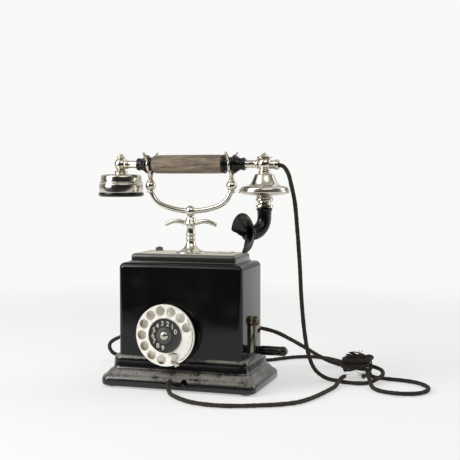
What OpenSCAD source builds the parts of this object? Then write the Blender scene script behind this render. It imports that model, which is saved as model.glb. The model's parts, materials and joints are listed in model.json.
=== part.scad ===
// Desk telephone with a rotary dial, a hand crank and a lift-off handset.
// Millimetres. The origin is on the table under the middle of the column,
// +Z is up, the dial faces -Y and the crank is on the +X side.

/* [Case and base] */
// Width of the case
case_w = 164; // [150:1:196]
// Depth of the case
case_d = 90; // [84:1:108]
// Height of the case
case_h = 117; // [106:1:140]
// Thickness of the case sheet
case_wall = 1.6; // [1.2:0.1:2.4]
// Corner radius of the case
case_r = 7; // [4:0.5:9]
// How far the base stands out past the case at each side
base_out_x = 20; // [14:0.5:24]
// How far the base stands out past the case at front and back
base_out_y = 16; // [13:0.5:20]
// Height of the base
base_h = 40; // [36:1:48]
// Thickness of the base casting
base_wall = 3.5; // [2.5:0.1:5]
// How far the top plinth is set in from the case
plinth_in = 12; // [10:0.5:15]
// Height of the top plinth
plinth_h = 11; // [9:0.5:14]

/* [Column and cradle] */
// Height of the column from its flange to the top of its neck
column_h = 46; // [44:1:56]
// Radius of the column shaft
column_r = 5.6; // [5:0.1:7]
// Radius of the plunger rod in the column
plunger_r = 3; // [2:0.1:3.4]
// Half the distance between the two forks
fork_x = 55; // [53:0.5:56]
// Height of the cradle bow, from its lowest point to the end balls
bow_rise = 32; // [26:0.5:38]
// Radius of the bow bar
bow_r = 3.4; // [2.8:0.1:4]

/* [Handset] */
// Radius of the wooden grip
grip_r = 12; // [10.5:0.1:14]
// Length of the wooden grip
grip_len = 95.6; // [92:0.2:98]
// Radius of the necks that lie in the forks
neck_r = 9; // [8:0.1:9.5]
// Radius of the tube through the handset
tube_r = 5; // [4:0.1:5.6]
// Distance from the column to the receiver axis
receiver_x = 96.7; // [94:0.1:106]
// Distance from the column to the transmitter axis
transmitter_x = 98; // [96:0.1:108]
// Radius of the receiver cup
cup_r = 29.6; // [24:0.2:31]
// Radius of the transmitter rim
rim_r = 31; // [26:0.2:34]
// Radius of the horn mouth
mouth_r = 25; // [20:0.2:26]
// Radius of the horn tube
horn_r = 9.2; // [7.8:0.1:10]
// Wall of the horn
horn_wall = 2.2; // [1.6:0.1:3]

/* [Dial] */
// Radius of the dial
dial_r = 38.5; // [36:0.5:42]
// How far the dial stands out of the case
dial_out = 17; // [14:0.5:20]
// Radius of a finger hole
finger_hole_r = 6; // [5.4:0.1:6.6]
// Radius of the number plate
number_plate_r = 21.5; // [20:0.5:23]
// Height of the dial centre above the table
dial_z = 70; // [66:1:76]

/* [Crank and magneto] */
// Height of the crank shaft above the table
crank_z = 84; // [83:0.5:88]
// Length of the crank arm between its axes
crank_len = 37; // [30:0.5:38]
// Length of the crank grip
crank_grip_len = 38; // [30:1:46]
// Radius of the crank grip
crank_grip_r = 6; // [5:0.1:6.5]
// Radius of the crank shaft
shaft_r = 4; // [3:0.1:5]
// Teeth on the drive gear
drive_teeth = 50; // [40:1:52]
// Teeth on the armature pinion
pinion_teeth = 10; // [9:1:12]

/* [Cords] */
// Diameter of the braided cords
cord_d = 5.4; // [4:0.1:6]

/* [Hidden] */
$fn = 48;
eps = 0.01;
run_gap = 0.05;         // radial clearance of a turning or sliding fit
free_gap = 0.3;         // clearance between bodies that only pass each other

base_w = case_w + 2*base_out_x;
base_d = case_d + 2*base_out_y;
foot_h = 2;
plate_t = 1.8;
plate_top = foot_h + 0.4 + plate_t;
case_z = base_h;
case_top = case_z + case_h;
plinth_top = case_top + plinth_h;
plinth_w = case_w - 2*plinth_in;
plinth_d = case_d - 2*plinth_in;

column_top = plinth_top + column_h;
bow_ball_r = 7.2;
bow_z = column_top + free_gap + bow_ball_r;       // axis of the bow at its lowest point
fork_ball_z = bow_z + bow_rise;
handset_z = fork_ball_z + 28;
fork_bar_r = 1.8;

dial_x = -11.7;
dial_face = -case_d/2 - dial_out;                 // front plane of the finger wheel
wheel_t = 1.6;
hub_r = 6;
post_r = 3;
hole_ring_r = dial_r - finger_hole_r - 2;
hole_step = 26.7;
hole_start = 21;
dial_gear_teeth = 48;
governor_teeth = 12;
dial_module = 0.8;
governor_dx = dial_module*(dial_gear_teeth + governor_teeth)/2;
dial_gear_y = -case_d/2 + 12;
cup_back = -base_d/2 + 11;                        // the cup stays in front of the base's upper tier
cup_neck_r = 26;

gear_module = 1;
arm_x0 = case_w/2 + 3.2;                          // inner face of the crank arm
arm_t = 2.6;
armature_z = crank_z - gear_module*(drive_teeth + pinion_teeth)/2;
armature_r = 9;
gear_x = case_w/2 - 20;

horn_dir = atan2(-25, -19.4);                     // heading of the horn mouth
horn_bend = 19;
horn_reach = 31.6;
// Outline of the piece broken out of the horn mouth, in mouth radii, seen along its axis.
chip_edge = [[-1.3, 0.22], [-0.97, 0.13], [-0.55, -0.13], [-0.19, -0.4], [-0.05, -0.72], [0.08, -1.3],
    [-1.3, -1.3]];

cord_r = cord_d/2;
lie = cord_r + 0.1;
outlet_x = transmitter_x + 18.5;
back_y = case_d/2;
hole_z = 11.5;
hole_x = [-6.4, 12.2];

// Handset cord: from the transmitter down to the table, round the loose knot
// and up to the right-hand outlet at the back of the case.
handset_route = [
    [outlet_x, 0, handset_z - 1.5], [122, 0, 278.5], [128, 1, 270], [132, 2, 255], [136, 4, 234],
    [138.7, 6.7, 199], [139, 7, 195], [139.3, 7.3, 191], [141, 11, 155], [142, 17, 111], [144, 26, 68], [147, 36, 38], [153, 49, 16],
    [164, 58, 5], [178, 54, lie], [192, 47, lie], [208, 45, lie], [222, 50, 3.6], [232, 62, 7],
    [236, 78, 10], [230, 95, 12.5], [213, 106, 14.5], [194, 104, 16], [182, 91, 17], [184, 77, 17.5],
    [197, 69, 18], [211, 75, 19], [215, 88, 20.5], [211, 101, 22.5], [198, 107, 24], [186, 100, 24.5],
    [183, 87, 25], [190, 75, 25.5], [204, 72, 26.5], [216, 80, 27.5], [219, 93, 28], [212, 106, 27],
    [203, 118, 21], [193, 130, 14],
    [180, 143, 7], [166, 156, 3.4], [150, 157, 7], [136, 144, 17], [121, 118, 33], [108, 93, 47],
    [92, 70, 60], [70, 57, 66.5], [57, back_y + 9.5, 67], [51, back_y + 7, 67],
    [50, back_y + 4.2, 67], [50, back_y + 1.2, 67]];

// The upper stretch, down to this point of the route, lifts with the handset.
cord_split = 6;

// Line cord: from the left-hand outlet round behind the base, under the knot
// and into the open loop at the right.
line_route = [
    [-50, back_y + 1.2, 61], [-50, back_y + 4.2, 61], [-53, 55, 61], [-64, 66, 59], [-86, 74, 54], [-112, 76, 47], [-134, 76, 40],
    [-149, 80, 32], [-157, 91, 22], [-158, 108, 10], [-151, 124, 4], [-134, 135, lie], [-100, 139, lie],
    [-55, 141, lie], [-8, 145, lie], [36, 151, lie], [60, 162, lie], [76, 181, lie], [94, 198, lie],
    [116, 206, lie], [138, 200, lie], [158, 184, lie], [180, 165, lie], [199, 145, lie], [210, 125, lie],
    [215, 105, lie], [222, 90, lie], [239, 84, lie], [261, 80, lie], [281, 71, lie], [296, 50, lie],
    [298, 28, lie], [289, 10, lie], [273, 3, lie], [256, 4, lie], [242, 11, lie], [233, 23, lie],
    [227, 36, 5.4], [223, 48, 10.4], [219, 58, 11.4], [214, 68, 8.4], [210, 78, 4.6]];

// Front lead: from the left-hand hole in the base round the front corner.
front_route = [
    [hole_x[0], -base_d/2 + 1.5, hole_z], [hole_x[0], -base_d/2 - 2, hole_z], [-5.8, -68, 10.3], [-3, -74, 7], [3, -83, 3.6], [12, -93, lie],
    [25, -105, lie], [40, -115, lie], [58, -121, lie], [79, -122, lie], [101, -117, lie],
    [123, -107, lie], [143, -96, lie], [160, -80, lie], [171, -55, lie], [179, -21, lie],
    [185, 14, lie], [187, 32, 6], [188.5, 46, 8.7], [190, 59, 8.4]];

// ---- general shapes ----

// A cylinder along +X starting at x.
module rod_x(x, length, r, r_end = -1) {
    translate([x, 0, 0]) rotate([0, 90, 0]) cylinder(h = length, r1 = r, r2 = r_end < 0 ? r : r_end);
}

// A cylinder along +Y starting at y.
module rod_y(y, length, r) {
    translate([0, y, 0]) rotate([-90, 0, 0]) cylinder(h = length, r = r);
}

// A flat rectangle with round corners.
module round_rect(w, d, r) {
    hull() for (sx = [-1, 1], sy = [-1, 1])
        translate([sx*(w/2 - r), sy*(d/2 - r)]) circle(r = r, $fn = 36);
}

// A straight tier of the base between two heights, with its own inset at each.
module tier(z0, in0, z1, in1) {
    land = 0.2;
    hull() {
        translate([0, 0, z0]) linear_extrude(land) round_rect(base_w - 2*in0, base_d - 2*in0, 12);
        translate([0, 0, z1 - land]) linear_extrude(land) round_rect(base_w - 2*in1, base_d - 2*in1, 12);
    }
}

// A block with round upright edges and a round top edge.
module soft_block(w, d, h, r) {
    hull() for (sx = [-1, 1], sy = [-1, 1]) {
        translate([sx*(w/2 - r), sy*(d/2 - r), 0]) cylinder(h = eps, r = r, $fn = 32);
        translate([sx*(w/2 - r), sy*(d/2 - r), h - r]) sphere(r = r, $fn = 32);
    }
}

// A round tube swept through a list of points, with flat ends.
module swept_bar(route, r, sides = 8) {
    n = len(route);
    function along(i) = let (a = route[max(i - 1, 0)], b = route[min(i + 1, n - 1)]) (b - a)/norm(b - a);
    function across(i) = i == 0
        ? let (t = along(0), side = abs(t[2]) < 0.9 ? [0, 0, 1] : [0, 1, 0], c = cross(t, side)) c/norm(c)
        : let (t = along(i), was = across(i - 1), c = was - t*(was*t)) c/norm(c);
    rings = [for (i = [0:n - 1]) let (t = along(i), u = across(i), v = cross(t, u))
        for (k = [0:sides - 1]) route[i] + r*(cos(360*k/sides)*u + sin(360*k/sides)*v)];
    walls = [for (i = [0:n - 2], k = [0:sides - 1]) let (a = i*sides + k, b = i*sides + (k + 1) % sides)
        each [[a, a + sides, b], [b, a + sides, b + sides]]];
    start = [for (k = [1:sides - 2]) [0, k, k + 1]];
    finish = [for (k = [1:sides - 2]) [(n - 1)*sides, (n - 1)*sides + k + 1, (n - 1)*sides + k]];
    polyhedron(points = rings, faces = concat(walls, start, finish), convexity = 8);
}

// A spur gear outline with straight-flanked teeth and running backlash.
module gear_outline(teeth, mod) {
    pitch_r = mod*teeth/2;
    tip_r = pitch_r + 0.72*mod;
    root_r = pitch_r - 1.05*mod;
    step = 360/teeth;
    polygon([for (i = [0:teeth - 1]) each [
        root_r*[cos((i - 0.30)*step), sin((i - 0.30)*step)],
        tip_r*[cos((i - 0.11)*step), sin((i - 0.11)*step)],
        tip_r*[cos((i + 0.11)*step), sin((i + 0.11)*step)],
        root_r*[cos((i + 0.30)*step), sin((i + 0.30)*step)]]]);
}

// ---- base and case ----

module base_casting() color("#1c1c1a") difference() {
    union() {
        tier(foot_h, 1.5, 5, 0);
        tier(5, 0, 11, 0.5);
        tier(11, 0.5, 17, 5);
        tier(17, 5, 22, 11);
        tier(22, 11, base_h - 4, 12.5);
        tier(base_h - 4, 12.5, base_h, 14.5);
    }
    translate([0, 0, -1]) linear_extrude(base_h - base_wall + 1)
        square([base_w - 25 - 2*base_wall, base_d - 25 - 2*base_wall], center = true);
    translate([0, 0, -1]) linear_extrude(plate_top + 1)
        square([base_w - 14, base_d - 14], center = true);
    for (x = hole_x) translate([x, 0, hole_z]) rod_y(-base_d/2 - 1, base_out_y + 5, 4.2);
    translate([40, 0, 0]) cylinder(h = base_h + 1, r = 7);
}

// Four corner feet and a middle pad, on screws that hold the bottom plate.
foot_places = [[0, 0], for (sx = [-1, 1], sy = [-1, 1]) [sx*(base_w/2 - 14), sy*(base_d/2 - 14)]];

module bottom_plate() color("#2b2a28") translate([0, 0, foot_h + 0.4]) difference() {
    linear_extrude(plate_t) square([base_w - 14.4, base_d - 14.4], center = true);
    for (p = foot_places) translate([p[0], p[1], -1]) cylinder(h = 4, r = 2);
}

module feet() color("#3a2f28") for (p = foot_places) translate([p[0], p[1], 0]) {
    cylinder(h = foot_h + 0.4, r = 6.5);
    cylinder(h = plate_top, r = 2);
}

// An insulating bush in the front hole that the lead comes through.
module front_bushes() color("#55483a") translate([hole_x[0], 0, hole_z])
    rod_y(-base_d/2 + 1.5, base_out_y - 11, 4.2);

module case_shell() color("#101112") difference() {
    translate([0, 0, case_z]) soft_block(case_w, case_d, case_h, case_r);
    translate([-case_w/2 + case_wall, -case_d/2 + case_wall, case_z - 1])
        cube([case_w - 2*case_wall, case_d - 2*case_wall, case_h + 1 - case_wall - 1.5]);
    translate([dial_x, 0, dial_z]) rod_y(-case_d/2 - 1, 10, hub_r + 3);
    translate([0, 0, crank_z]) rod_x(case_w/2 - 10, 20, shaft_r + 2);
    cylinder(h = case_top + 1, r = plunger_r + 2);
    translate([50, 0, 67]) rod_y(case_d/2 - 10, 20, 3);
    translate([-50, 0, 61]) rod_y(case_d/2 - 10, 20, 3);
}

module top_plinth() color("#8d877a") difference() {
    translate([0, 0, case_top]) soft_block(plinth_w, plinth_d, plinth_h, 5);
    cylinder(h = plinth_top + 1, r = plunger_r + 2);
}

module hatch_plate() color("#7d776a") translate([41, 12, plinth_top]) difference() {
    translate([-11, -12, 0]) cube([22, 24, 0.8]);
    translate([-4, -9, -1]) cube([8, 3, 3]);
}

module lock_block() color("#33271f") translate([-53, 24, plinth_top]) {
    translate([-4, -4, 0]) cube([8, 8, 4.4]);
}

// Glands on the back panel for the two rear cords.
module back_outlets() color("#55483a") for (p = [[50, 67], [-50, 61]]) translate([p[0], 0, p[1]]) {
    rod_y(back_y, 1.2, 5);
    rod_y(back_y - 5, 5, 3);
}

module binding_screw() color("#8a5a3c") translate([0, 16, case_z + 5]) {
    rod_x(-case_w/2 - 7, 7, 1.6);
    rod_x(-case_w/2 - 6, 3.2, 3.2);
}

// ---- column and cradle ----

module column() color("#b9b4a4") difference() {
    translate([0, 0, plinth_top]) rotate_extrude() polygon(concat(
        [[0, 0], [19.8, 0], [19.8, 1.2]],
        [for (a = [0:15:90]) [19.8 - 13.6*sin(a), 11.5 - 10.3*cos(a)]],
        [[column_r, 12], [column_r, 16.5], [column_r + 1.3, 17.4], [column_r + 1.3, 18.8], [column_r, 19.6],
         [column_r, 22.6], [column_r + 1.1, 23.4], [column_r + 1.1, 24.6], [column_r, 25.4],
         [column_r, column_h - 10.4], [8.4, column_h - 9.4], [8.4, column_h - 7.6],
         [6.8, column_h - 4.6], [4.8, column_h], [0, column_h]]));
    translate([0, 0, plinth_top - 1]) cylinder(h = column_h + 2, r = plunger_r + run_gap);
}

// Two curved arms to carry the telephone by.
module carrying_arms() color("#b9b4a4") for (side = [-1, 1])
    swept_bar([for (t = [0:0.125:1]) let (x = 7 + 28.4*t)
        [side*x, 0, plinth_top + column_h - 8.5 + 5.6*sin(150*t) - 4.6*t*t]], 2.5, 12);

module plunger_rod() color("#a9a595")
    translate([0, 0, 124]) cylinder(h = bow_z - bow_ball_r*0.6 - 124, r = plunger_r);

module plunger_spring() color("#8f8c84") translate([0, 0, 135]) difference() {
    cylinder(h = 14, r = 5.2);
    translate([0, 0, -1]) cylinder(h = 16, r = 4);
}

// The bow is a shallow arc with a tighter arc up to the ball at each end.
bow_side_r = 0.86*bow_rise;
bow_turn = 20.7;
bow_knee_x = fork_x - bow_side_r*(1 - sin(bow_turn));
bow_mid_r = bow_knee_x/sin(bow_turn);
bow_end_z = bow_z + bow_mid_r*(1 - cos(bow_turn)) + bow_side_r*cos(bow_turn);

function bow_half(side) = [for (a = [90:-(90 - bow_turn)/7:bow_turn + 1])
    [side*(fork_x - bow_side_r + bow_side_r*sin(a)), 0, bow_end_z - bow_side_r*cos(a)]];
function backwards(list) = [for (i = [len(list) - 1:-1:0]) list[i]];

module cradle_bow() color("#b9b4a4") difference() {
    union() {
        translate([0, 0, bow_z]) sphere(r = bow_ball_r);
        swept_bar(concat(bow_half(-1),
            [for (a = [-bow_turn:bow_turn/4:bow_turn + 0.1])
                [bow_mid_r*sin(a), 0, bow_z + bow_mid_r*(1 - cos(a))]],
            backwards(bow_half(1))), bow_r, 16);
        for (side = [-1, 1]) translate([side*fork_x, 0, bow_end_z]) sphere(r = bow_ball_r - 0.2);
    }
    translate([0, 0, bow_z - 20]) cylinder(h = 20 - bow_ball_r*0.6, r = plunger_r);
}

// A fork: a turned stem and two prongs that rise round the handset neck.
module fork(side) {
    stem = handset_z - neck_r - 5.6;
    difference() {
        translate([side*fork_x, 0, 0]) rotate_extrude() polygon([
            [0, bow_end_z + 5], [4.6, bow_end_z + 5.6], [3.4, bow_end_z + 8], [2.2, bow_end_z + 9.6],
            [3.2, stem - 3], [2.6, stem], [0, stem + 0.6]]);
        translate([side*fork_x, 0, bow_end_z]) sphere(r = bow_ball_r - 0.2);
    }
    reach = neck_r + free_gap + fork_bar_r;
    for (face = [-1, 1]) swept_bar(concat(
        [[side*fork_x, face*0.9, stem - 2.4], [side*fork_x + face*0.1, face*3, stem - 0.2]],
        [for (a = [-62:16:2]) [side*fork_x + face*0.5, face*reach*cos(a), handset_z + reach*sin(a)]],
        [[side*fork_x + face*0.9, face*(reach + 1.6), handset_z + 6],
         [side*fork_x + face*1.3, face*(reach + 5.4), handset_z + 11],
         [side*fork_x + face*1.6, face*(reach + 10), handset_z + 15]]), fork_bar_r, 10);
}
module forks() color("#b9b4a4") for (side = [-1, 1]) fork(side);

// ---- dial ----

module at_dial() translate([dial_x, 0, dial_z]) children();

module dial_cup() color("#b5b1a3") at_dial() difference() {
    union() {
        rod_y(dial_face + 3.2, cup_back - dial_face - 3.2, dial_r - 1.5);
        rod_y(cup_back, -case_d/2 - cup_back, cup_neck_r);
    }
    rod_y(dial_face + 3, cup_back - dial_face - 5.5, dial_r - 3.5);
    rod_y(cup_back - 5, 20, hub_r + run_gap);
}

module dial_post() color("#77736a") at_dial() {
    rod_y(dial_face - 0.6, -dial_face + dial_gear_y + 14.6, post_r);
    difference() {
        translate([-6, dial_gear_y + 9, -27]) cube([governor_dx + 16, 2.5, 54]);
        translate([governor_dx, 0, 0]) rod_y(dial_gear_y, 20, 1.5 + run_gap);
    }
    for (z = [-24, 24]) translate([0, 0, z])
        rod_y(-case_d/2 + case_wall, dial_gear_y + 9 + case_d/2 - case_wall, 2.5);
}

module finger_wheel() color("#d8d4c6") at_dial() {
    difference() {
        union() {
            rod_y(dial_face, wheel_t, dial_r);
            rod_y(dial_face, dial_gear_y - dial_face, hub_r);
        }
        rod_y(dial_face - 1, -dial_face + 10, post_r + run_gap);
        for (i = [0:9]) let (a = hole_start + i*hole_step)
            translate([hole_ring_r*cos(a), 0, hole_ring_r*sin(a)]) rod_y(dial_face - 1, 4, finger_hole_r);
    }
}

module dial_gear() color("#b08d4a") at_dial() difference() {
    translate([0, dial_gear_y, 0]) rotate([-90, 0, 0]) linear_extrude(3)
        gear_outline(dial_gear_teeth, dial_module);
    rod_y(dial_gear_y - 1, 5, post_r + run_gap);
}

module governor() color("#b08d4a") at_dial() translate([governor_dx, 0, 0]) {
    translate([0, dial_gear_y, 0]) rotate([-90, 0, 0]) rotate([0, 0, 180/governor_teeth])
        linear_extrude(3) gear_outline(governor_teeth, dial_module);
    rod_y(dial_gear_y + 3, 9.2, 1.5);
    rod_y(dial_gear_y + 4, 3, 7);
}

module number_plate() color("#22211f") at_dial() difference() {
    rod_y(dial_face - 1.4, 0.8, number_plate_r);
    rod_y(dial_face - 3, 5, 2);
}

module dial_centre_boss() color("#6b6964") at_dial() difference() {
    rod_y(dial_face - 2.8, 1.4, 10);
    rod_y(dial_face - 4, 5, 2);
}

module dial_centre_screw() color("#c9c5b8") at_dial() {
    rod_y(dial_face - 2.8, 2.2, 2);
    difference() {
        translate([0, dial_face - 2.8, 0]) intersection() {
            sphere(r = 5.5);
            rod_y(-3, 3, 6);
        }
        translate([-6, dial_face - 6.8, -0.5]) cube([12, 1.6, 1]);
    }
}

// A curved blade over the wheel, carried on a foot at the rim of the cup.
module finger_stop() color("#d8d4c6") at_dial() {
    blade_y = dial_face - 1.3;
    translate([0, blade_y, 0]) rotate([90, 0, 0]) linear_extrude(0.9)
        polygon(concat(
            [for (t = [0:0.125:1]) let (r = dial_r - 15*t, a = -60 - 7*sin(360*t)) r*[cos(a), sin(a)]],
            [for (t = [1:-0.125:0]) let (r = dial_r - 15*t, a = -71 - 9*t*t - 5*sin(360*t)) r*[cos(a), sin(a)]]));
    rotate([0, 65.5, 0]) translate([dial_r + 0.4, dial_face - 2.2, -3.5])
        cube([1.6, cup_back - dial_face + 1, 7]);
    rotate([0, 65.5, 0]) translate([dial_r - 1.5, cup_back - 3, -3.5]) cube([3.5, 1.8, 7]);
    rotate([0, 65.5, 0]) translate([dial_r - 4, dial_face - 2.2, -3.5]) cube([6, 0.9, 7]);
}

module dial_spring() color("#5b5a56") at_dial() difference() {
    rod_y(-case_d/2 + 4, 3, 15);
    rod_y(-case_d/2 + 3, 5, hub_r + 4);
}

module pulse_contacts() color("#b59a5a") at_dial() for (k = [0, 1])
    translate([-governor_dx - 4 + k*3, -case_d/2 + case_wall, -10]) cube([0.8, 13, 20]);

// ---- crank and magneto ----

module at_crank() translate([0, 0, crank_z]) children();

module crank_bush() color("#8f7440") at_crank() difference() {
    union() {
        rod_x(case_w/2, 2.2, 6.6);
        rod_x(case_w/2 - 4, 4, shaft_r + 2);
    }
    rod_x(case_w/2 - 6, 12, shaft_r + run_gap);
}

module crank_shaft() color("#8f7440") at_crank() {
    rod_x(-20, arm_x0 + arm_t + 20, shaft_r);
    rod_x(arm_x0 + arm_t, 2.4, 5.6);
}

module drive_gear() color("#b08d4a") at_crank() difference() {
    rotate([0, 90, 0]) translate([0, 0, gear_x]) linear_extrude(5) gear_outline(drive_teeth, gear_module);
    rod_x(gear_x - 1, 8, shaft_r);
}

module crank_arm() color("#c2bda9") at_crank() difference() {
    union() {
        translate([arm_x0, 0, 0]) rotate([0, 90, 0]) linear_extrude(arm_t) union() {
            circle(r = 6.2);
            translate([0, -4.6]) square([crank_len, 9.2]);
            translate([crank_len, 0]) circle(r = 4.6);
        }
        translate([0, 0, -crank_len]) rod_x(arm_x0 + arm_t, crank_grip_len + 1.2, 2);
        translate([0, 0, -crank_len]) rod_x(arm_x0 + arm_t + free_gap + crank_grip_len + 0.3, 1.4, 3.6);
    }
    rod_x(arm_x0 - 1, 8, shaft_r);
}

module crank_grip() color("#131313") translate([0, 0, crank_z - crank_len]) difference() {
    union() {
        rod_x(arm_x0 + arm_t + free_gap, crank_grip_len*0.2, crank_grip_r*0.86, crank_grip_r);
        rod_x(arm_x0 + arm_t + free_gap + crank_grip_len*0.2, crank_grip_len*0.8, crank_grip_r);
    }
    rod_x(arm_x0, crank_grip_len + 10, 2 + run_gap);
}

module armature() color("#5e5a54") translate([0, 0, armature_z]) {
    rod_x(-43, 81, armature_r);
    rod_x(-50, 50 + gear_x, 2.5);
}

module armature_pinion() color("#b08d4a") translate([gear_x, 0, armature_z])
    rotate([0, 90, 0]) rotate([0, 0, 180/pinion_teeth + 180]) linear_extrude(5)
    gear_outline(pinion_teeth, gear_module);

// Cheeks that carry the armature, and the bearing posts of the crank shaft.
module magneto_frame() color("#8f7440") {
    for (x = [-47, 41]) difference() {
        translate([x, -14, case_z]) cube([3, 28, x < 0 ? crank_z - case_z - 6 : crank_z - case_z + 8]);
        translate([0, 0, armature_z]) rod_x(x - 1, 5, 2.5 + run_gap);
        at_crank() rod_x(x - 1, 5, shaft_r + run_gap);
    }
    for (y = [armature_r + 1, -armature_r - 4]) translate([-47, y, case_z]) cube([91, 3, 22]);
}

// Three horseshoe magnets over the armature.
// The magnets arch under the crank shaft, half a millimetre clear of it.
magnet_r = crank_z - shaft_r - 0.5 - (case_z + 20);

module magnets() color("#4a4c4e") for (k = [0:2]) translate([-40 + 28*k, 0, 0]) rotate([90, 0, 90])
    linear_extrude(22) difference() {
        union() {
            translate([-magnet_r, case_z]) square([2*magnet_r, 20]);
            translate([0, case_z + 20]) circle(r = magnet_r);
        }
        translate([-14, case_z - 1]) square([28, 21]);
        translate([0, case_z + 20]) circle(r = 14);
    }

// ---- ringer, switch and speech parts ----

ringer_y = 30;
gong_z = 132;
gong_r = 20;
gong_x = gong_r + 4.2;

module ringer_frame() color("#6f6b60") {
    translate([-32, ringer_y + 6, 86]) cube([64, case_d/2 - case_wall - ringer_y - 6, 14]);
    translate([-18, ringer_y - 8, 86]) cube([36, 14, 3]);
    for (side = [-1, 1]) {
        translate([side*gong_x, ringer_y - 8, 86]) cylinder(h = gong_z - 86 + 1.5, r = 2.5);
        translate([side*gong_x - 4, ringer_y - 8, 86]) cube([8, 14, 3]);
    }
}

module ringer_coils() color("#6b2d22") for (side = [-1, 1])
    translate([side*11, ringer_y - 2, 89]) cylinder(h = 17, r = 6.5);

module gongs() color("#b7b2a2") for (side = [-1, 1]) translate([side*gong_x, ringer_y - 8, gong_z])
    difference() {
        rotate_extrude() polygon(concat([[0, 0]],
            [for (a = [0:15:90]) [gong_r*sin(a), 1.5 - 10*(1 - cos(a)) + 0]],
            [for (a = [90:-15:0]) [(gong_r - 1.6)*sin(a), -10*(1 - cos(a))]]));
        translate([0, 0, -20]) cylinder(h = 21.5, r = 2.5);
    }

module clapper() color("#b7b2a2") translate([0, ringer_y - 8, 0]) {
    translate([0, 0, 110]) cylinder(h = 14, r = 1);
    translate([0, 0, 125]) sphere(r = 2.4);
    translate([-14, -3, 108]) cube([28, 9, 2.4]);
    translate([0, 0, 109.2]) rod_y(-4.5, 12, 1.6);
}

module hook_contacts() color("#b59a5a") {
    for (k = [0:2]) translate([-14, -5, 112 + 3*k]) cube([28, 8, 0.8]);
    translate([-22, -10, 108]) cube([8, 10, case_top - case_wall - 1.5 - 108]);
}

module induction_coil() color("#5a2b1e") translate([-50, 16, plate_top + 11]) {
    rod_x(0, 70, 9);
    for (x = [-3, 70]) translate([x, -11, -11]) cube([3, 22, 22]);
}

module condenser() color("#8c8f8f") translate([-60, -34, plate_top]) cube([56, 24, 22]);

// ---- handset ----

module at_handset() translate([0, 0, handset_z]) children();
grip_x0 = -grip_len*0.544;
grip_x1 = grip_x0 + grip_len;
ferrule_end = 76;

module handset_tube() color("#b9b4a4") at_handset() difference() {
    rod_x(-receiver_x + 6, receiver_x + transmitter_x - 12, tube_r);
    rod_x(-receiver_x, receiver_x + transmitter_x, tube_r - 1.5);
}

module wooden_grip() color("#6b5c4b") at_handset() difference() {
    union() {
        rod_x(grip_x0, 3, neck_r, grip_r);
        rod_x(grip_x0 + 3, grip_len - 3, grip_r);
    }
    rod_x(grip_x0 - 1, grip_len + 2, tube_r);
}

// Turned black ferrule: neck for the fork, flare, taper and end ring.
module ferrule(inner) difference() {
    union() {
        rod_x(inner, fork_x + 3.2 - inner, neck_r);
        rod_x(fork_x + 3.2, 2, grip_r);
        rod_x(fork_x + 5.2, 4, grip_r - 0.8, neck_r);
        rod_x(fork_x + 9.2, 5, neck_r - 0.6, 7.4);
        rod_x(fork_x + 14.2, ferrule_end - fork_x - 14.2, 7.9);
    }
    rod_x(inner - 1, 60, tube_r);
}

module ferrule_left() color("#141312") at_handset() mirror([1, 0, 0]) ferrule(-grip_x0);

module ferrule_right() color("#141312") at_handset() {
    ferrule(grip_x1 + 4);
    difference() {
        rod_x(grip_x1, 4, grip_r);
        rod_x(grip_x1 - 1, 6, tube_r);
    }
}

// Ball joint with a finial above and a collar below.
module yoke_ball(r) difference() {
    union() {
        sphere(r = r);
        cylinder(h = r + 1.2, r = r*0.74);
        translate([0, 0, r + 1.2]) cylinder(h = 4.6, r1 = r*0.74, r2 = r*0.3);
        translate([0, 0, -r - 1.6]) cylinder(h = 5, r = r*0.72);
    }
}

module receiver_yoke() color("#b9b4a4") at_handset() translate([-receiver_x, 0, 0]) difference() {
    union() {
        yoke_ball(8.2);
        translate([0, 0, -12.6]) cylinder(h = 3, r = 8.2);
    }
    rod_x(6, 10, tube_r);
}

module receiver_cup() color("#b9b4a4") at_handset() translate([-receiver_x, 0, 0]) difference() {
    rotate_extrude() polygon([[0, -12.6], [8.4, -12.6], [13, -13.4], [cup_r - 4, -13.8], [cup_r - 2, -15],
        [cup_r - 1.8, -23.8], [cup_r, -24.8], [cup_r, -36.6], [0, -36.6]]);
    translate([0, 0, -40]) cylinder(h = 25, r = cup_r - 3.6);
}

module receiver_cap() color("#101010") at_handset() translate([-receiver_x, 0, 0]) difference() {
    rotate_extrude() polygon([[0, -36.6], [cup_r + 0.6, -36.6], [cup_r + 0.8, -39.4], [cup_r - 1.4, -42],
        [10, -42], [6, -40], [0, -40]]);
    translate([0, 0, -45]) cylinder(h = 12, r = 4);
}

module diaphragm() color("#77756f") at_handset() translate([-receiver_x, 0, 0]) {
    translate([0, 0, -36.6]) cylinder(h = 0.6, r = cup_r - 4);
    translate([0, 0, -32]) cylinder(h = 16, r = 12);
}

module transmitter_yoke() color("#b9b4a4") at_handset() translate([transmitter_x, 0, 0]) difference() {
    union() {
        yoke_ball(9);
        translate([0, 0, 7]) cylinder(h = 2, r = 9.4);
        translate([0, 0, -12.2]) cylinder(h = 4, r = 7.6);
        translate([0, 0, -1]) rod_x(6, 8, 5.4);
        translate([0, 0, -1]) rod_x(14, 4.5, 6.2);
    }
    rod_x(-15, 9, tube_r);
    translate([0, 0, -1.5]) rod_x(10, 9, cord_r);
}

module transmitter_bell() color("#b9b4a4") at_handset() translate([transmitter_x, 0, 0]) difference() {
    rotate_extrude() polygon([[0, -12.2], [9, -12.2], [15, -13.6], [20.6, -26.6], [26.5, -27.8],
        [rim_r - 2, -29.8], [rim_r - 1, -31.6], [rim_r - 1, -33], [0, -33]]);
    translate([0, 0, -34]) cylinder(h = 6, r = rim_r - 5);
    translate([0, 0, -29]) cylinder(h = 14, r1 = 18.4, r2 = 13);
}

module carbon_capsule() color("#77756f") at_handset() translate([transmitter_x, 0, -32.6])
    cylinder(h = 12, r = 12);

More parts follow.
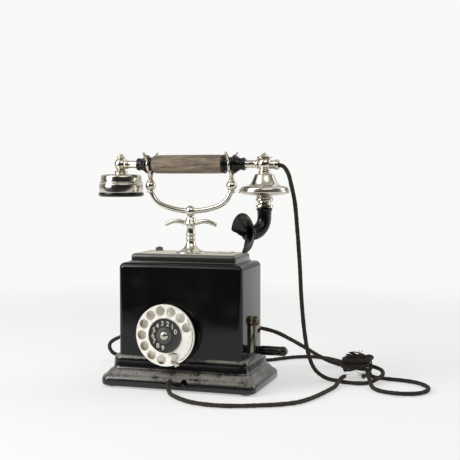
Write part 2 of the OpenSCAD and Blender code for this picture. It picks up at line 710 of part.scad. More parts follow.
// Lower rim with the collar that the horn turns in, and two small knobs.
module transmitter_rim() color("#b9b4a4") at_handset() translate([transmitter_x, 0, 0]) difference() {
    union() {
        rotate_extrude() polygon([[0, -33], [rim_r, -33], [rim_r, -35.4], [rim_r - 3, -37.4], [23, -39],
            [12, -40], [9.6, -41], [10.6, -43.4], [10.6, -46.4], [8.2, -48], [8.2, -50.4], [10.8, -51.6],
            [10.8, -54.4], [0, -54.4]]);
        for (a = [190, -8]) rotate([0, 0, a]) translate([rim_r, 0, -34.2]) sphere(r = 2.4);
    }
    translate([0, 0, -60]) cylinder(h = 25.4, r = 6.5);
}

// The horn: a spigot in the collar, a bent tube and a flared mouth with a piece out of its rim.
module horn() color("#0e0e0e") at_handset() translate([transmitter_x, 0, 0]) rotate([0, 0, horn_dir]) {
    spigot_z = -54.4 - free_gap;
    elbow_z = handset_z - 196 - horn_bend;
    inner_r = horn_r - horn_wall;
    difference() {
        union() {
            translate([0, 0, spigot_z - 1]) cylinder(h = 18.5, r = 6.5 - run_gap);
            translate([0, 0, -elbow_z]) cylinder(h = elbow_z + spigot_z, r = horn_r);
            translate([horn_bend, 0, -elbow_z]) rotate([90, 0, 0]) rotate([0, 0, 180])
                rotate_extrude(angle = 90) translate([horn_bend, 0]) circle(r = horn_r);
            translate([horn_bend, 0, -elbow_z - horn_bend]) rotate([0, 90, 0]) horn_flare(0);
        }
        translate([0, 0, -elbow_z]) cylinder(h = 60, r = inner_r - 2.4);
        translate([horn_bend, 0, -elbow_z]) rotate([90, 0, 0]) rotate([0, 0, 180])
            rotate_extrude(angle = 90) translate([horn_bend, 0]) circle(r = inner_r - 2.4);
        translate([horn_bend, 0, -elbow_z - horn_bend]) rotate([0, 90, 0]) horn_flare(horn_wall);
        translate([horn_bend + 5.3, 0, -elbow_z - horn_bend]) rotate([0, 90, 0]) linear_extrude(20)
            polygon(mouth_r*[for (p = chip_edge) [-p[1], p[0]]]);
    }
}

// The flared end of the horn as a solid, thinner by a wall that tapers into the bore.
module horn_flare(wall) {
    depth = horn_reach - horn_bend;
    past = wall > 0 ? 1 : 0;
    rotate_extrude() polygon(concat([[0, -past]],
        [for (t = [0:0.125:1]) [horn_r - (wall > 0 ? wall + 2.4*(1 - t) : 0)
            + (mouth_r - horn_r)*pow(t, 1.7), (depth + past)*t - past*(1 - t)]],
        [[0, depth + past]]));
}

// ---- cords ----

module handset_cord_upper() color("#2f2721")
    swept_bar([for (i = [0:cord_split]) handset_route[i]], cord_r);
module handset_cord_lower() color("#2f2721")
    swept_bar([for (i = [cord_split:len(handset_route) - 1]) handset_route[i]], cord_r);
module line_cord() color("#211d1a") swept_bar(line_route, cord_r);
module front_lead() color("#2f2721") swept_bar(front_route, cord_r);

base_casting();
bottom_plate();
feet();
front_bushes();
case_shell();
top_plinth();
hatch_plate();
lock_block();
column();
carrying_arms();
back_outlets();
binding_screw();
dial_cup();
dial_post();
number_plate();
dial_centre_boss();
dial_centre_screw();
finger_stop();
dial_spring();
pulse_contacts();
finger_wheel();
dial_gear();
governor();
magneto_frame();
magnets();
crank_bush();
crank_shaft();
drive_gear();
crank_arm();
crank_grip();
armature();
armature_pinion();
ringer_frame();
ringer_coils();
gongs();
clapper();
hook_contacts();
induction_coil();
condenser();
plunger_rod();
plunger_spring();
cradle_bow();
forks();
handset_tube();
wooden_grip();
ferrule_left();
ferrule_right();
receiver_yoke();
receiver_cup();
receiver_cap();
diaphragm();
transmitter_yoke();
transmitter_bell();
carbon_capsule();
transmitter_rim();
horn();
handset_cord_upper();
handset_cord_lower();
line_cord();
front_lead();
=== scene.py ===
import json
import random
from math import atan2, cos, pi, radians, sin, sqrt

import bmesh
import bpy
from mathutils import Matrix, Vector


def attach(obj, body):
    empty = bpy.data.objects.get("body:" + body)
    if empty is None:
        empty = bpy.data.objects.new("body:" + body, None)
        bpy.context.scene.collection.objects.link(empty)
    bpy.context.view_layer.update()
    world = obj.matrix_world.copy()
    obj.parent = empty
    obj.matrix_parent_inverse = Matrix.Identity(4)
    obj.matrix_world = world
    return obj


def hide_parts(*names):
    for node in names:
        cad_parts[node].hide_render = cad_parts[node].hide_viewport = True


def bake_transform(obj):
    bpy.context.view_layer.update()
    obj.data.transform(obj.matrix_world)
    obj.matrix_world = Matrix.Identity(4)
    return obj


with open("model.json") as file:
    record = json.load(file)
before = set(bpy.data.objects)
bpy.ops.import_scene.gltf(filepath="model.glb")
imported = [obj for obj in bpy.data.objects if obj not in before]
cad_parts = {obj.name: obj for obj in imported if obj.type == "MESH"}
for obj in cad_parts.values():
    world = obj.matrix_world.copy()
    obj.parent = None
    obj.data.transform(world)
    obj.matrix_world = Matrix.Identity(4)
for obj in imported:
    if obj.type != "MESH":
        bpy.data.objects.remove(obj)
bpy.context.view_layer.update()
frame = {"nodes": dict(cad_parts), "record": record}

mm = 0.001
scene = bpy.context.scene
finishes = {}          # one material for each finish slot of the record
print("frame loaded")


viewPoint = {"place": (0.4255, -1.1699, 0.2668), "azimuth": 17.67, "down": 3.2, "lens": 76.0}
cameraData = bpy.data.cameras.new("camera")
cameraData.lens = viewPoint["lens"]
cameraData.sensor_width = 36
cameraObject = bpy.data.objects.new("camera", cameraData)
cameraObject.location = viewPoint["place"]
cameraObject.rotation_euler = (radians(90 - viewPoint["down"]), 0, radians(viewPoint["azimuth"]))
scene.collection.objects.link(cameraObject)
scene.camera = cameraObject
print("camera placed")


class Value:
    # wraps a shader socket, so that Python sums on it add Math nodes
    def __init__(self, tree, socket):
        self.tree = tree
        self.socket = socket

    def node(self, kind, settings=None, inputs=None, output=0):
        made = self.tree.nodes.new(kind)
        for name, value in (settings or {}).items():
            if name == "stops":
                ramp = made.color_ramp
                while len(ramp.elements) < len(value):
                    ramp.elements.new(0.5)
                for element, (place, colour) in zip(ramp.elements, value):
                    element.position = place
                    element.color = (*colour, 1)
            else:
                setattr(made, name, value)
        for name, value in (inputs or {}).items():
            connect(self.tree, value, made.inputs[name])
        return Value(self.tree, made.outputs[output])

    def calc(self, operation, *others):
        return self.node("ShaderNodeMath", {"operation": operation}, dict(enumerate((self, *others))))

    def __add__(self, other):
        return self.calc("ADD", other)

    def __sub__(self, other):
        return self.calc("SUBTRACT", other)

    def __mul__(self, other):
        return self.calc("MULTIPLY", other)

    def __rsub__(self, other):
        return self.node("ShaderNodeMath", {"operation": "SUBTRACT"}, {0: other, 1: self})

    def split(self):
        first = self.node("ShaderNodeSeparateXYZ", {}, {0: self})
        return [Value(self.tree, out) for out in first.socket.node.outputs]

    def noise(self, size, detail=4, roughness=0.6, distortion=0.0):   # size is in metres
        return self.node("ShaderNodeTexNoise", {}, {"Vector": self, "Scale": 1 / size, "Detail": detail,
                                                    "Roughness": roughness, "Distortion": distortion})

    def stretched(self, x, y, z):
        return self.node("ShaderNodeMapping", {}, {"Vector": self, "Scale": (x, y, z)})

    def between(self, low, high):      # 0 below low, 1 above high, smooth between them
        return self.node("ShaderNodeMapRange", {"interpolation_type": "SMOOTHSTEP"},
                         {"Value": self, "From Min": low, "From Max": high})

    def mix(self, first, second):      # colours, with this value as the share of the second
        return self.node("ShaderNodeMix", {"data_type": "RGBA"}, {0: self, 6: first, 7: second}, 2)

    def bump(self, depth, strength=1.0):
        return self.node("ShaderNodeBump", {}, {"Height": self, "Distance": depth, "Strength": strength})


def connect(tree, value, socket):
    if isinstance(value, Value):
        tree.links.new(value.socket, socket)
    elif isinstance(value, tuple) and len(value) == 3 and socket.type == "RGBA":
        socket.default_value = (*value, 1)
    else:
        socket.default_value = value


def newFinish(slot, build, coordinate="Object"):
    material = bpy.data.materials.new(slot)
    material.use_nodes = True
    tree = material.node_tree
    shader = tree.nodes["Principled BSDF"]
    place = Value(tree, tree.nodes.new("ShaderNodeTexCoord").outputs[coordinate])
    for name, value in build(place).items():
        connect(tree, value, shader.inputs[name])
    finishes[slot] = material
    return material


def upward(place):                     # how far the surface faces up
    return place.node("ShaderNodeNewGeometry", {}, {}, "Normal").split()[2]


nickelLook = {"bright": (0.70, 0.67, 0.60), "warm": (0.55, 0.50, 0.40), "tarnish": (0.16, 0.12, 0.075)}


def nickel(place, worn=0.62):
    cloud = place.noise(0.02, 5)
    spots = place.noise(0.0035, 3).between(worn, worn + 0.16)
    colour = cloud.between(0.35, 0.72).mix(nickelLook["bright"], nickelLook["warm"])
    return {"Base Color": (spots * 0.75).mix(colour, nickelLook["tarnish"]), "Metallic": 1.0,
            "Roughness": cloud * 0.16 + spots * 0.25 + 0.1, "Normal": place.noise(0.0012, 2).bump(0.00003, 0.4)}


# painted light: a near-white, mostly non-metal copy of the nickel that makes its parts look lit; the roughness is
# the real satin finish
def satinNickel(place):
    made = nickel(place, 0.66)
    turned = place.noise(0.004, 3)
    made["Base Color"] = turned.between(0.35, 0.75).mix((0.98, 0.96, 0.89), (0.93, 0.89, 0.80))
    made["Roughness"] = turned * 0.1 + 0.24
    made["Metallic"] = 0.18
    return made


# painted shade and tarnish: a darker, brown copy of the nickel whose clouds darken the dial cup wall
def agedNickel(place):
    made = nickel(place, 0.5)
    cloud = place.noise(0.011, 5)
    made["Base Color"] = cloud.between(0.38, 0.62).mix((0.78, 0.64, 0.47), (0.26, 0.18, 0.11))
    made["Roughness"] = cloud * 0.3 + 0.18
    return made


enamelLook = {"black": (0.0042, 0.0042, 0.0047), "speck": (0.075, 0.075, 0.07),
              "scuff": (0.035, 0.03, 0.024)}


def caseEnamel(place):
    specks = place.noise(0.0016, 2).between(0.70, 0.78)
    smears = place.noise(0.035, 5).between(0.42, 0.75)
    return {"Base Color": (specks * 0.5 + smears * 0.035).mix(enamelLook["black"], enamelLook["speck"]),
            "Roughness": smears * 0.12 + specks * 0.2 + 0.1, "Coat Weight": 0.05, "Coat Roughness": 0.06,
            "Specular IOR Level": 0.3,
            "Normal": place.noise(0.012, 3).bump(0.00012, 0.25)}


def dustyEnamel(place, amount, halfX, halfY, wear, level, patches, shades):
    x, y, z = place.split()
    grain = place.noise(0.0022, 5, 0.7)
    cloud = place.noise(0.018, 6, 0.65)
    towardEdge = (x.calc("ABSOLUTE") - halfX).calc("MAXIMUM", y.calc("ABSOLUTE") - halfY)
    rubbed = (towardEdge + cloud * wear).between(-0.002, 0.003)
    lying = upward(place).between(*level) * (1 - rubbed * 0.85) * (cloud * 0.9 + grain * 0.45).between(*patches)
    dust = lying * amount
    body = (grain.between(0.58, 0.8) * 0.2).mix(enamelLook["black"], enamelLook["scuff"])
    return {"Base Color": dust.mix(body, grain.mix(*shades)),
            "Roughness": dust * 0.55 + cloud * 0.12 + 0.08, "Coat Weight": 0.2 - dust * 0.2, "Coat Roughness": 0.08,
            "Normal": (grain * 0.5 + cloud).bump(0.00025, 0.5)}


def wood(place):
    along = place.stretched(0.09, 1, 1)
    fibres = along.noise(0.0011, 6, 0.7, 0.4)
    bands = along.noise(0.0048, 4, 0.55, 0.8)
    pores = place.stretched(0.05, 1, 1).noise(0.0005, 2).between(0.56, 0.7)
    colour = bands.node("ShaderNodeValToRGB", {"stops": [(0.3, (0.030, 0.020, 0.013)), (0.5, (0.165, 0.122, 0.085)),
                                                         (0.7, (0.36, 0.285, 0.20))]},
                        {0: bands * 0.75 + fibres * 0.35})
    return {"Base Color": (pores * 0.8).mix(colour, (0.012, 0.008, 0.006)), "Roughness": 0.78 - fibres * 0.25,
            "Normal": (fibres - pores * 0.7).bump(0.0003, 0.7)}


def ebonite(place):
    wear = place.noise(0.006, 5).between(0.55, 0.74)
    fine = place.noise(0.0009, 3)
    return {"Base Color": (wear * 0.7).mix((0.0045, 0.0042, 0.004), (0.075, 0.034, 0.019)),
            "Roughness": fine * 0.1 + wear * 0.2 + 0.15, "Specular IOR Level": 0.35,
            "Normal": fine.bump(0.00004, 0.4)}


def plainMetal(dark, light, rough):
    def build(place):
        cloud = place.noise(0.007, 5)
        return {"Base Color": cloud.between(0.3, 0.7).mix(dark, light), "Metallic": 1.0,
                "Roughness": cloud * 0.25 + rough, "Normal": place.noise(0.0008, 3).bump(0.00006, 0.5)}
    return build


def plainMatt(dark, light, rough, grainSize):
    def build(place):
        grain = place.noise(grainSize, 5)
        return {"Base Color": grain.between(0.3, 0.72).mix(dark, light), "Roughness": grain * 0.2 + rough,
                "Normal": grain.bump(grainSize * 0.2, 0.6)}
    return build


def braid(dark, light, fleck):
    def build(place):
        along, around, rest = place.split()
        left = ((along * 1.35 + around * 5) * pi).calc("SINE").calc("ABSOLUTE")
        right = ((along * 1.35 - around * 5) * pi).calc("SINE").calc("ABSOLUTE")
        strands = left.calc("MULTIPLY", right).calc("POWER", 0.6)
        solid = Value(place.tree, place.socket.node.outputs["Object"])
        fuzz = solid.noise(0.0013, 4, 0.75)
        worn = solid.noise(0.012, 4).between(0.5, 0.72)
        colour = strands.mix(dark, light)
        return {"Base Color": ((fuzz.between(0.53, 0.68) * (worn * 0.65 + 0.35)) * 0.85).mix(colour, fleck),
                "Roughness": 0.93 - fuzz * 0.1,
                "Normal": (strands * 0.8 + fuzz * 0.9).bump(0.0011, 1.0)}
    return build


newFinish("nickel", nickel)
newFinish("case_enamel", caseEnamel)
newFinish("plinth_enamel", lambda place: dustyEnamel(place, 0.97, 0.067, 0.030, 0.010, (-0.25, 0.7), (0.36, 0.62),
                                                      ((0.50, 0.465, 0.39), (0.78, 0.74, 0.64))))
newFinish("base_enamel", lambda place: dustyEnamel(place, 0.45, 0.110, 0.069, 0.016, (0.1, 0.75), (0.52, 0.74),
                                                    ((0.26, 0.24, 0.20), (0.44, 0.41, 0.34))))
newFinish("wood", wood)
newFinish("ebonite", ebonite)
newFinish("plate_steel", plainMetal((0.30, 0.29, 0.27), (0.52, 0.50, 0.47), 0.25))
newFinish("brass", plainMetal((0.40, 0.27, 0.09), (0.68, 0.50, 0.22), 0.22))
newFinish("crank_metal", plainMetal((0.06, 0.045, 0.03), (0.30, 0.24, 0.16), 0.3))
newFinish("copper", plainMetal((0.16, 0.07, 0.04), (0.38, 0.19, 0.11), 0.38))
newFinish("magnet_iron", plainMetal((0.05, 0.05, 0.05), (0.13, 0.13, 0.13), 0.42))
newFinish("felt", plainMatt((0.05, 0.035, 0.028), (0.12, 0.09, 0.07), 0.75, 0.0012))
newFinish("brown_bush", plainMatt((0.045, 0.03, 0.02), (0.13, 0.085, 0.055), 0.5, 0.0015))
newFinish("winding", plainMatt((0.10, 0.03, 0.02), (0.24, 0.09, 0.05), 0.4, 0.0006))
newFinish("number_enamel", plainMatt((0.008, 0.008, 0.0075), (0.028, 0.028, 0.026), 0.35, 0.0014))
newFinish("grey_boss", plainMatt((0.05, 0.05, 0.047), (0.11, 0.107, 0.10), 0.32, 0.0016))
newFinish("handset_braid", braid((0.004, 0.003, 0.002), (0.036, 0.024, 0.017), (0.26, 0.20, 0.15)), "UV")
newFinish("lead_braid", braid((0.006, 0.004, 0.003), (0.045, 0.033, 0.024), (0.28, 0.23, 0.17)), "UV")
newFinish("line_braid", braid((0.004, 0.003, 0.002), (0.028, 0.021, 0.016), (0.16, 0.13, 0.10)), "UV")
finishes["tarnish_and_shade_nickel"] = newFinish("agedNickel", agedNickel)
finishes["lit_satin_nickel"] = newFinish("satinNickel", satinNickel)
finishes["cream"] = newFinish("creamFigures", plainMatt((0.50, 0.47, 0.38), (0.72, 0.69, 0.58), 0.4, 0.0008))
finishes["thread"] = newFinish("threadEnds", plainMatt((0.005, 0.004, 0.003), (0.045, 0.032, 0.024), 0.85, 0.0009))
for part in frame["record"]["subparts"]:
    node = frame["nodes"][part["node"]]
    node.data.materials.clear()
    node.data.materials.append(finishes[part["material_slot"]])
print("finishes made")


def faceOut(bm):
    bmesh.ops.recalc_face_normals(bm, faces=bm.faces)


def joinInto(target, part, matrix=Matrix.Identity(4)):
    part.transform(matrix)
    mesh = bpy.data.meshes.new("part")
    part.to_mesh(mesh)
    part.free()
    target.from_mesh(mesh)
    bpy.data.meshes.remove(mesh)
    return target


def lathe(profile, steps=64):          # (radius, height) points turned about Z
    bm = bmesh.new()
    points = [bm.verts.new((r * mm, 0, z * mm)) for r, z in profile]
    edges = [bm.edges.new(pair) for pair in zip(points, points[1:])]
    bmesh.ops.spin(bm, geom=points + edges, cent=(0, 0, 0), axis=(0, 0, 1), dvec=(0, 0, 0), angle=2 * pi,
                   steps=steps, use_merge=True, use_duplicate=False)
    bmesh.ops.remove_doubles(bm, verts=bm.verts, dist=1e-7)
    return bm


def softenEdges(bm, width, segments=2, angle=28):
    faceOut(bm)
    edges = [e for e in bm.edges if e.is_manifold and e.calc_face_angle(0) > radians(angle)]
    bmesh.ops.bevel(bm, geom=edges, offset=width * mm, segments=segments, profile=0.5, affect="EDGES",
                    material=-1, clamp_overlap=True)
    return bm


def ringEdges(ring):
    return [a.link_edges[i] for a, b in zip(ring, ring[1:] + ring[:1])
            for i in range(len(a.link_edges)) if a.link_edges[i].other_vert(a) == b]


def sweep(rings, sides, uvScale=0):    # rings are (centre, tangent, first side, radius) in metres
    bm = bmesh.new()
    uv = bm.loops.layers.uv.new("UVMap") if uvScale else None
    bmesh.ops.create_circle(bm, segments=sides, radius=1)
    bm.verts.ensure_lookup_table()
    ring = sorted(bm.verts, key=lambda v: atan2(v.co.y, v.co.x) % (2 * pi - 1e-6))
    travelled = 0
    first = ring
    for i, (centre, tangent, side, radius) in enumerate(rings):
        if i:
            edges = ringEdges(ring)
            made = bmesh.ops.extrude_edge_only(bm, edges=edges)["geom"]
            fresh = {v for v in made if isinstance(v, bmesh.types.BMVert)}
            after = [next(e.other_vert(v) for e in v.link_edges if e.other_vert(v) in fresh) for v in ring]
            step = (centre - rings[i - 1][0]).length
            if uv:
                number = {v: (k, 0) for k, v in enumerate(ring)}
                number.update({v: (k, 1) for k, v in enumerate(after)})
                for face in (f for f in made if isinstance(f, bmesh.types.BMFace)):
                    ks = [number[loop.vert][0] for loop in face.loops]
                    wraps = max(ks) - min(ks) > 1
                    for loop in face.loops:
                        k, far = number[loop.vert]
                        k = sides if wraps and k == 0 else k
                        loop[uv].uv = ((travelled + step * far) * uvScale, k / sides)
            travelled += step
            ring = after
        other = tangent.cross(side)
        for k, v in enumerate(ring):
            a = 2 * pi * k / sides
            r = radius(a) if callable(radius) else radius
            v.co = centre + (side * cos(a) + other * sin(a)) * r
    for loop in (first, ring):
        bmesh.ops.edgeloop_fill(bm, edges=ringEdges(loop))
    return bm


def smoothRoute(points, spacing):      # points in mm give even steps in metres along one smooth curve
    p = [Vector(q) * mm for q in points]
    p = [p[0] * 2 - p[1], *p, p[-1] * 2 - p[-2]]
    dense = []
    for a, b, c, d in zip(p, p[1:], p[2:], p[3:]):
        t1 = sqrt((b - a).length)
        t2 = t1 + sqrt((c - b).length)
        t3 = t2 + sqrt((d - c).length)
        for k in range(16):
            t = t1 + (t2 - t1) * k / 16
            ab = a.lerp(b, t / t1)
            bc = b.lerp(c, (t - t1) / (t2 - t1))
            cd = c.lerp(d, (t - t2) / (t3 - t2))
            dense.append(ab.lerp(bc, t / t2).lerp(bc.lerp(cd, (t - t1) / (t3 - t1)), (t - t1) / (t2 - t1)))
    dense.append(p[-2])
    total = sum((b - a).length for a, b in zip(dense, dense[1:]))
    count = max(2, round(total / spacing))
    route, gone, want = [dense[0]], 0, total / count
    for a, b in zip(dense, dense[1:]):
        step = (b - a).length
        while step > 0 and gone + step >= want * len(route) - 1e-9 and len(route) < count:
            route.append(a.lerp(b, (want * len(route) - gone) / step))
        gone += step
    return [*route, dense[-1]], total


def ringsAlong(route, radius, start=Vector((0, 0, 1))):   # a frame that doesn't twist goes along the route
    rings = []
    side = None
    for i, point in enumerate(route):
        tangent = (route[min(i + 1, len(route) - 1)] - route[max(i - 1, 0)]).normalized()
        if side is None:
            start = start if abs(tangent.dot(start)) < 0.9 else Vector((0, 1, 0))
            side = tangent.cross(start).normalized()
        side = (side - tangent * tangent.dot(side)).normalized()
        rings.append((point, tangent, side.copy(), radius(i, len(route))))
    return rings


def bar(points, radius, spacing=1.0, sides=20, ends=True, taper=1.0):   # a round bar with round ends
    route, length = smoothRoute(points, spacing * mm)

    def size(i, count):
        r = radius * mm * (1 + (taper - 1) * i / (count - 1))
        near = min(i, count - 1 - i) * length / (count - 1) if ends else r
        return r * sqrt(max(0.02, 1 - max(0, 1 - near / r) ** 2))
    return sweep(ringsAlong(route, size), sides)


def block(w, d, h, r, z=0, segments=8):     # a block with round upright and top edges
    bm = bmesh.new()
    bmesh.ops.create_cube(bm, size=1)
    bmesh.ops.scale(bm, vec=(w * mm, d * mm, h * mm), verts=bm.verts)
    bmesh.ops.translate(bm, vec=(0, 0, (z + h / 2) * mm), verts=bm.verts)
    low = min(v.co.z for v in bm.verts) + 1e-6
    edges = [e for e in bm.edges if max(v.co.z for v in e.verts) > low]
    bmesh.ops.bevel(bm, geom=edges, offset=r * mm, segments=segments, profile=0.5, affect="EDGES", material=-1)
    return bm


def carve(bm, cutter):
    made = []
    for part in (bm, cutter):
        faceOut(part)
        mesh = bpy.data.meshes.new("cut")
        part.to_mesh(mesh)
        part.free()
        made.append(bpy.data.objects.new("cut", mesh))
        scene.collection.objects.link(made[-1])
    cut = made[0].modifiers.new("cut", "BOOLEAN")
    cut.operation, cut.solver, cut.object = "DIFFERENCE", "EXACT", made[1]
    bpy.context.view_layer.update()
    done = bmesh.new()
    done.from_object(made[0], bpy.context.evaluated_depsgraph_get())
    for obj in made:
        mesh = obj.data
        bpy.data.objects.remove(obj)
        bpy.data.meshes.remove(mesh)
    return done


def makePiece(name, bm, body, slot, nodes=(), look=None, sharp=42, at=None):
    if at is not None:
        bm.transform(at)
    faceOut(bm)
    mesh = bpy.data.meshes.new(name)
    bm.to_mesh(mesh)
    bm.free()
    mesh.polygons.foreach_set("use_smooth", [True] * len(mesh.polygons))
    mesh.set_sharp_from_angle(angle=radians(sharp))
    mesh.materials.append(finishes[look or slot])
    obj = bpy.data.objects.new(name, mesh)
    scene.collection.objects.link(obj)
    if body:
        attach(obj, body)
    if nodes:
        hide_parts(*nodes)
    return obj


def moved(x, y, z, turn=0.0, axis="Z"):
    return Matrix.Translation(Vector((x, y, z)) * mm) @ Matrix.Rotation(radians(turn), 4, axis)


cords = {"clear": 2.96, "radius": 2.7, "sides": 16, "spacing": 1.1}
backFace = 45          # the case's back, in mm
outlets = ((50, 67), (-50, 61))
lie = cords["radius"] + 0.1
handsetPoints = [
    (116.5, 0, 280), (122, 0, 278.5), (128, 1, 270), (132, 2, 255), (136, 4, 234), (138.7, 6.7, 199),
    (139, 7, 195), (139.3, 7.3, 191), (141, 11, 155), (142, 17, 111), (144, 26, 68), (147, 36, 38),
    (153, 49, 16), (164, 58, 5), (178, 54, lie), (192, 47, lie), (208, 45, lie), (222, 50, 3.6),
    (232, 62, 7), (236, 78, 10), (230, 95, 12.5), (213, 106, 14.5), (194, 104, 16), (182, 91, 17),
    (184, 77, 17.5), (197, 69, 18), (211, 75, 19), (215, 88, 20.5), (211, 101, 22.5), (198, 107, 24),
    (186, 100, 24.5), (183, 87, 25), (190, 75, 25.5), (204, 72, 26.5), (216, 80, 27.5), (219, 93, 28),
    (212, 106, 27), (203, 118, 21),
    (193, 130, 14), (180, 143, 7), (166, 156, 3.4), (150, 157, 7), (136, 144, 17), (121, 118, 33),
    (108, 93, 47), (92, 70, 60), (70, 57, 66.5), (57, backFace + 9.5, 67), (51, backFace + 7, 67),
    (50, backFace + 4.2, 67), (50, backFace + 1.2, 67)]
linePoints = [
    (-50, backFace + 1.2, 61), (-50, backFace + 4.2, 61), (-53, 55, 61), (-64, 66, 59), (-86, 74, 54),
    (-112, 76, 47), (-134, 76, 40), (-149, 80, 32), (-157, 91, 22), (-158, 108, 10), (-151, 124, 4),
    (-134, 135, lie), (-100, 139, lie), (-55, 141, lie), (-8, 145, lie), (36, 151, lie), (60, 162, lie),
    (76, 181, lie), (94, 198, lie), (116, 206, lie), (138, 200, lie), (158, 184, lie), (180, 165, lie),
    (199, 145, lie), (210, 125, lie), (215, 105, lie), (222, 90, lie), (239, 84, lie), (261, 80, lie),
    (281, 71, lie), (296, 50, lie), (298, 28, lie), (289, 10, lie), (273, 3, lie), (256, 4, lie),
    (242, 11, lie), (233, 23, lie), (227, 36, 5.4), (223, 48, 10.4), (219, 58, 11.4), (214, 68, 8.4),
    (210, 78, 4.6)]
frontPoints = [
    (-6.4, -59.5, 11.5), (-6.4, -63, 11.5), (-5.8, -68, 10.3), (-3, -74, 7), (3, -83, 3.6),
    (12, -93, lie), (25, -105, lie), (40, -115, lie), (58, -121, lie), (79, -122, lie), (101, -117, lie),
    (123, -107, lie), (143, -96, lie), (160, -80, lie), (171, -55, lie), (179, -21, lie), (185, 14, lie),
    (187, 32, 6), (188.5, 46, 8.7), (190, 59, 8.4)]


def braidedCord(name, points, slot, nodes, seed, bareEnd):
    route, length = smoothRoute(points, cords["spacing"] * mm)
    rng = random.Random(seed)
    lumps = [rng.uniform(0.88, 1.05) for i in range(len(route))]
    for p in route:
        p.z = max(p.z, cords["clear"] * mm)

    def size(i, count):
        base = cords["radius"] * mm * (0.25 * lumps[i - 1] + 0.5 * lumps[i] + 0.25 * lumps[(i + 1) % count])
        closing = min(1, (count - 1 - i + 1.2) / 3) if bareEnd else 1
        return lambda a: base * closing * (1 + 0.04 * sin(4 * a + 2.2 * i) + 0.03 * sin(4 * a - 2.2 * i))
    bm = sweep(ringsAlong(route, size), cords["sides"], 1 / (2 * cords["radius"] * mm))
    cord = makePiece(name, bm, None, slot, nodes, sharp=80)
    return cord, route, length


def threads(starts, seed, count, reach, spread):       # loose thread ends that stick out of a cord
    rng = random.Random(seed)
    bm = bmesh.new()
    for start in starts:
        for i in range(count):
            shake = Vector((rng.uniform(-1, 1), rng.uniform(-1, 1), rng.uniform(-0.1, 0.5)))
            way = shake * spread + Vector(start[1])
            way.normalize()
            drift = Vector((rng.uniform(-1, 1), rng.uniform(-1, 1), rng.uniform(-0.3, 0.3))) * 0.4
            length = reach * rng.uniform(0.5, 1)
            points = [Vector(start[0]) + (way * k + drift * (k * k / 4)) * length / 4 for k in range(5)]
            for p in points:
                p.z = max(p.z, 0.5)
            joinInto(bm, bar([tuple(p) for p in points], 0.28, 2.0, 5))
    return bm


def windings(count, seed):             # loosened strands that wrap the knot of the handset cord
    rng = random.Random(seed)
    bm = bmesh.new()
    for i in range(count):
        start, span = rng.uniform(0, 360), rng.uniform(150, 330)
        tilt = (rng.uniform(-0.5, 0.5), rng.uniform(-0.5, 0.5))
        radius, height = rng.uniform(14.5, 19.5), rng.uniform(17, 25)
        points = []
        for k in range(9):
            a = radians(start + span * k / 8)
            r = radius + rng.uniform(-1.5, 1.5)
            x, y = r * cos(a), r * sin(a)
            points.append((201 + x, 89 + y, min(33, max(6, height + x * tilt[0] + y * tilt[1]))))
        joinInto(bm, bar(points, rng.uniform(0.8, 1.9), 2.0, 8, taper=0.7))
    return bm


handsetCord, route, length = braidedCord("handsetCord", handsetPoints, "handset_braid",
                                         ["handset_cord_upper", "handset_cord_lower"], 3, False)
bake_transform(handsetCord)
strands = windings(16, 21)
joinInto(strands, threads([((203, 92, 30), (-0.2, 0.2, 1))], 17, 4, 9, 0.5))
knotStrands = makePiece("knotStrands", strands,
                        "stand", "handset_braid", look="thread", sharp=80)
lineCord, route, length = braidedCord("lineCord", linePoints, "line_braid", ["line_cord"], 5, True)
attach(lineCord, "stand")
lineThreads = makePiece("lineThreads", threads([((209, 80, 5), (-0.3, 1, 0.1)), ((262, 2, 3), (0.4, -1, 0.1)),
                                                ((284, 7, 3), (0.2, -1, 0.1))], 11, 7, 13, 0.8), "stand",
                        "line_braid", look="thread")
frontLead, route, length = braidedCord("frontLead", frontPoints, "lead_braid", ["front_lead"], 7, True)
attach(frontLead, "stand")
leadThreads = makePiece("leadThreads", threads([((190, 60, 8.4), (0.1, 1, 0.1))], 13, 9, 7, 0.5), "stand",
                        "lead_braid", look="thread")
print("cords laid")


base = {"width": 204, "depth": 122, "corner": 12, "holes": (-6.4, 12.2), "holeHeight": 11.5, "holeRadius": 4.2,
        "rings": [(7, 4.3), (7, 2), (2, 2), (0.7, 2.8), (0.1, 4.4), (0, 6.5), (0, 9), (0.4, 11.2), (1.3, 13.3),
                  (2.7, 15), (4.0, 15.9), (4.9, 16.6), (6.0, 18), (7.4, 20), (8.8, 21.6), (10.2, 22.4),
                  (11.0, 22.7), (11.05, 23.5), (11.6, 24.4), (12.0, 26), (12.3, 33), (12.5, 35.4), (13.0, 37.4),
                  (14.0, 38.9), (15.5, 39.8), (17.4, 40)]}


# a rounded outline carried up through (inset, height) rings
def outlineStack(width, depth, corner, rings, segments=9):
    bm = bmesh.new()
    bmesh.ops.create_grid(bm, x_segments=1, y_segments=1, size=0.5)
    bmesh.ops.scale(bm, vec=(width * mm, depth * mm, 1), verts=bm.verts)
    bmesh.ops.bevel(bm, geom=bm.verts[:], offset=corner * mm, segments=segments, profile=0.5, affect="VERTICES",
                    material=-1)
    bmesh.ops.delete(bm, geom=bm.faces[:], context="FACES_ONLY")
    loop, verts, was = bm.edges[:], bm.verts[:], (0, 0)
    for i, (inset, height) in enumerate(rings):
        if i:
            fresh = {v for v in bmesh.ops.extrude_edge_only(bm, edges=loop)["geom"]
                     if isinstance(v, bmesh.types.BMVert)}
            verts = list(fresh)
            loop = [e for e in {e for v in verts for e in v.link_edges}
                    if e.verts[0] in fresh and e.verts[1] in fresh]
        else:
            firstLoop = loop
        for sx in (-1, 1):
            for sy in (-1, 1):
                group = [v for v in verts if v.co.x * sx > 0 and v.co.y * sy > 0]
                bmesh.ops.translate(bm, verts=group, vec=Vector((-sx * (inset - was[0]), -sy * (inset - was[0]),
                                                                 height - was[1])) * mm)
        was = (inset, height)
    for edges in (firstLoop, loop):
        bmesh.ops.edgeloop_fill(bm, edges=edges)
    return bm


